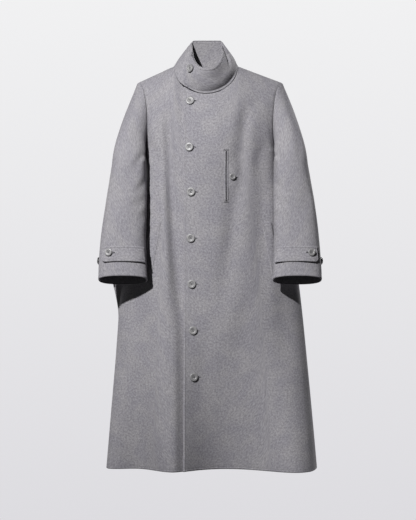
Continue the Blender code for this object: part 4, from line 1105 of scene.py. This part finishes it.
buttonhole = {"cordSteps": 44, "slitSteps": 9, "past": 3 * mm, "halfWide": 1.7 * mm, "endPower": 0.55,
              "sidePower": 0.75, "cordRadius": 0.75 * mm, "slitEnd": 0.6 * mm, "slitDrop": 0.1 * mm,
              "slitRadius": np.array([0.35, 0.8, 1, 1, 1, 1, 1, 1.15, 0.8]) * 1.35 * mm}
loop = np.linspace(0, 2 * pi, buttonhole["cordSteps"], endpoint=False)
lips, lipUps, shadowStrips, shadowStripUps = [], [], [], []
for seat in seats:
    if not seat["hole"]:
        continue
    axisX, axisY, normal = seat["axes"]
    past = buttonhole["past"]
    half = 0.5 * (seat["hole"] + past)
    along = half - past + half * signedPower(np.cos(loop), buttonhole["endPower"])
    beside = buttonhole["halfWide"] * signedPower(np.sin(loop), buttonhole["sidePower"])
    lips.append(seat["point"] + along[:, None] * axisX + beside[:, None] * axisY + seat["lift"] * normal)
    lipUps.append(np.broadcast_to(normal, (len(loop), 3)))
    end = buttonhole["slitEnd"]
    along = np.linspace(end - past, seat["hole"] - end, buttonhole["slitSteps"])
    shadowStrips.append(seat["point"] + along[:, None] * axisX + (seat["lift"] - buttonhole["slitDrop"]) * normal)
    shadowStripUps.append(np.broadcast_to(normal, (len(along), 3)))
lipPiece = threadTubes("buttonholeEdges", np.stack(lips), np.stack(lipUps), buttonhole["cordRadius"],
                       sewingThread, closed=True, sides=8)
# the flat near-black strips in the slits are painted shadow
holeShadowPiece = threadTubes("buttonholeSlitShadows", np.stack(shadowStrips), np.stack(shadowStripUps), buttonhole["slitRadius"],
                        slitShadowPaint, sides=10, squash=0.35)
print("buttonholes made:", len(lips))


# topstitching

stitchColumn = int(np.argmin(np.abs(edgeSteps - edgeFinish["inset"])))
hemRow = -1 - stitchColumn
stitchRadius = np.array([0.22, 0.45, 0.48, 0.45, 0.22]) * mm      # 0.3 mm thread, drawn at 0.9 mm to show


def stitchPiece(name, *runs):
    centre, up = joinArcs(*runs)
    return threadTubes(name, centre, up, stitchRadius, sewingThread, sides=5)


# stitches along one line of a grid, picked out of its points and its normals alike
def rowOf(outer, normal, pick):
    return stitchArcs(outer[pick], normal[pick])


k = stitchColumn
leftStitch = stitchPiece("leftFrontStitches", rowOf(leftOuter, leftNormal, np.s_[6:hemRow + 1, k]),
                         rowOf(leftOuter, leftNormal, np.s_[hemRow, k:-4]))
rightStitch = stitchPiece("rightFrontStitches", rowOf(rightOuter, rightNormal, np.s_[hemRow, 4:-4]))
backStitch = stitchPiece("backStitches", rowOf(backOuter, backNormal, np.s_[hemRow, 4:-4]))
collarStitch = stitchPiece("collarStitches", rowOf(collarOuter, collarNormal, np.s_[-6, 60:-k]),
                           rowOf(collarOuter, collarNormal, np.s_[4:-5, -1 - k]))
for word, (piece, outer, normal) in tabs.items():
    picks = (np.s_[k, 2:-k], np.s_[k:-k, -1 - k], np.s_[-1 - k, 2:-k])
    stitchPiece(f"{word}TabStitches", *[rowOf(outer, normal, pick) for pick in picks])
for word in ("left", "right"):
    piece, outer, normal = welts[word]
    stitchPiece(f"{word}WeltStitches", rowOf(outer, normal, np.s_[3:-3, 5]))
tacks = []
x = np.linspace(pocket["slitX"] - pocket["tackHalf"], pocket["slitX"] + pocket["tackHalf"], 12)
for middle in (pocket["topZ"] + pocket["tackOut"], pocket["lowZ"] - pocket["tackOut"]):
    for off in (-pocket["tackApart"], 0, pocket["tackApart"]):
        points, normal = onCloth(leftFront, x, np.full_like(x, middle + off))
        tacks.append(stitchArcs(points + pocket["tackLift"] * normal, normal, 3.2 * mm, 3.0 * mm))
chestTack = stitchPiece("chestPocketTacks", *tacks)
print("stitching made")


# the flat size and area of each pocket welt, worked out here and not used further

for word, (piece, outer, normal) in welts.items():
    facts = sheetFacts(outer)
    # a chest welt is cut twice as wide as it shows and folded
    facts["flat"] = (max(facts["flat"][0], 2 * pocket["weltWide"]), facts["flat"][1])
    under = rightPiece if word == "right" else leftPiece


# floor, light and camera

studio = {"floorZ": -1.65, "floorRadius": 1.5, "floorColour": "#e4e3e4", "floorGlow": 0.45,
          "keyFrom": (-1.50, -3.30, 1.48), "keyAim": (0.04, -0.10, -0.46), "keyWatts": 1130, "keySize": 0.07,
          "keyCone": math.radians(36), "rearFrom": (2.1, 2.5, 0.9), "rearWatts": 120, "rearSize": 0.8,
          "rearSideFrom": (-2.6, 2.4, 0.2), "rearSideWatts": 35, "rearSideSize": 1.4,
          "coatMiddle": (0, 0, -0.55), "skyLight": 0.07, "skyColour": "#f6f6f8",
          "pageTop": "#f1f1f2", "pageLow": "#dddce0"}
# the lens frames the photo's 520 pixels of 3 mm each at the coat's distance
photoView = {"x": -0.006, "z": -0.564, "distance": 4.5, "tall": 520 * 0.003, "sensor": 36}


def makeFloor(cut):
    ring = np.linspace(0, 1, 24) ** 1.3 * cut["floorRadius"]
    spoke = np.linspace(0, 2 * pi, 96, endpoint=False)
    r, a = np.meshgrid(ring[1:], spoke, indexing="ij")
    points = np.stack([r * np.cos(a), r * np.sin(a), np.full_like(r, cut["floorZ"])], -1).reshape(-1, 3)
    quads = gridQuads(len(ring) - 1, len(spoke), False, True)[0]
    mesh = bpy.data.meshes.new("floor")
    middle = list(range(len(spoke)))
    mesh.from_pydata(points.tolist(), [], quads.tolist() + [middle])
    glow = hexColour(cut["floorColour"])
    material = endMaterial(newMaterial("matPaintedFloor")[0], {
        "Base Color": glow, "Roughness": 0.85, "Emission Color": glow, "Emission Strength": cut["floorGlow"]})
    mesh.materials.append(material)
    floor = bpy.data.objects.new("floor", mesh)
    bpy.context.collection.objects.link(floor)
    floor.visible_diffuse = False    # the floor is seen, but throws no light up on the coat


def makeLight(name, kind, place, aim, watts, **settings):
    light = bpy.data.lights.new(name, kind)
    light.energy = watts
    for key, value in settings.items():
        setattr(light, key, value)
    lamp = bpy.data.objects.new(name, light)
    lamp.location = place
    lamp.rotation_euler = (Vector(aim) - Vector(place)).to_track_quat("-Z", "Y").to_euler()
    bpy.context.collection.objects.link(lamp)


makeFloor(studio)
makeLight("keyLight", "SPOT", studio["keyFrom"], studio["keyAim"], studio["keyWatts"],
          shadow_soft_size=studio["keySize"], spot_size=studio["keyCone"], spot_blend=1.0)
makeLight("rearLight", "AREA", studio["rearFrom"], studio["coatMiddle"], studio["rearWatts"],
          size=studio["rearSize"])
makeLight("rearSideLight", "AREA", studio["rearSideFrom"], studio["coatMiddle"], studio["rearSideWatts"],
          size=studio["rearSideSize"])

world = bpy.data.worlds.new("paleStudio")
bpy.context.scene.world = world
world.use_nodes = True
tree = world.node_tree
tree.nodes.clear()
place = addNode(tree, "ShaderNodeTexCoord")
rise = addNode(tree, "ShaderNodeSeparateXYZ", {"Vector": (place, 0)})
climb = addNode(tree, "ShaderNodeMapRange", {"Value": (rise, 2), "From Min": -0.17, "From Max": 0.17})
# the backdrop seen by the camera is painted paler at the top and darker low down: a painted falloff of light
page = addRamp(tree, (climb, 0), [(0.0, studio["pageLow"]), (1.0, studio["pageTop"])])
seen = addNode(tree, "ShaderNodeLightPath")
sky = addNode(tree, "ShaderNodeBackground", {"Color": hexColour(studio["skyColour"]),
                                             "Strength": studio["skyLight"]})
paper = addNode(tree, "ShaderNodeBackground", {"Color": (page, 0), "Strength": 1.0})
both = addNode(tree, "ShaderNodeMixShader", {0: (seen, 0), 1: (sky, 0), 2: (paper, 0)})
addNode(tree, "ShaderNodeOutputWorld", {"Surface": (both, 0)})

view = bpy.data.cameras.new("photoCamera")
view.sensor_fit = "AUTO"
view.sensor_width = photoView["sensor"]
view.lens = photoView["sensor"] * photoView["distance"] / photoView["tall"]
viewer = bpy.data.objects.new("photoCamera", view)
viewer.location = (photoView["x"], -photoView["distance"], photoView["z"])
viewer.rotation_euler = (pi / 2, 0, 0)
bpy.context.collection.objects.link(viewer)
bpy.context.scene.camera = viewer
bpy.context.scene.view_settings.view_transform = "Standard"
print("floor, light and camera set")
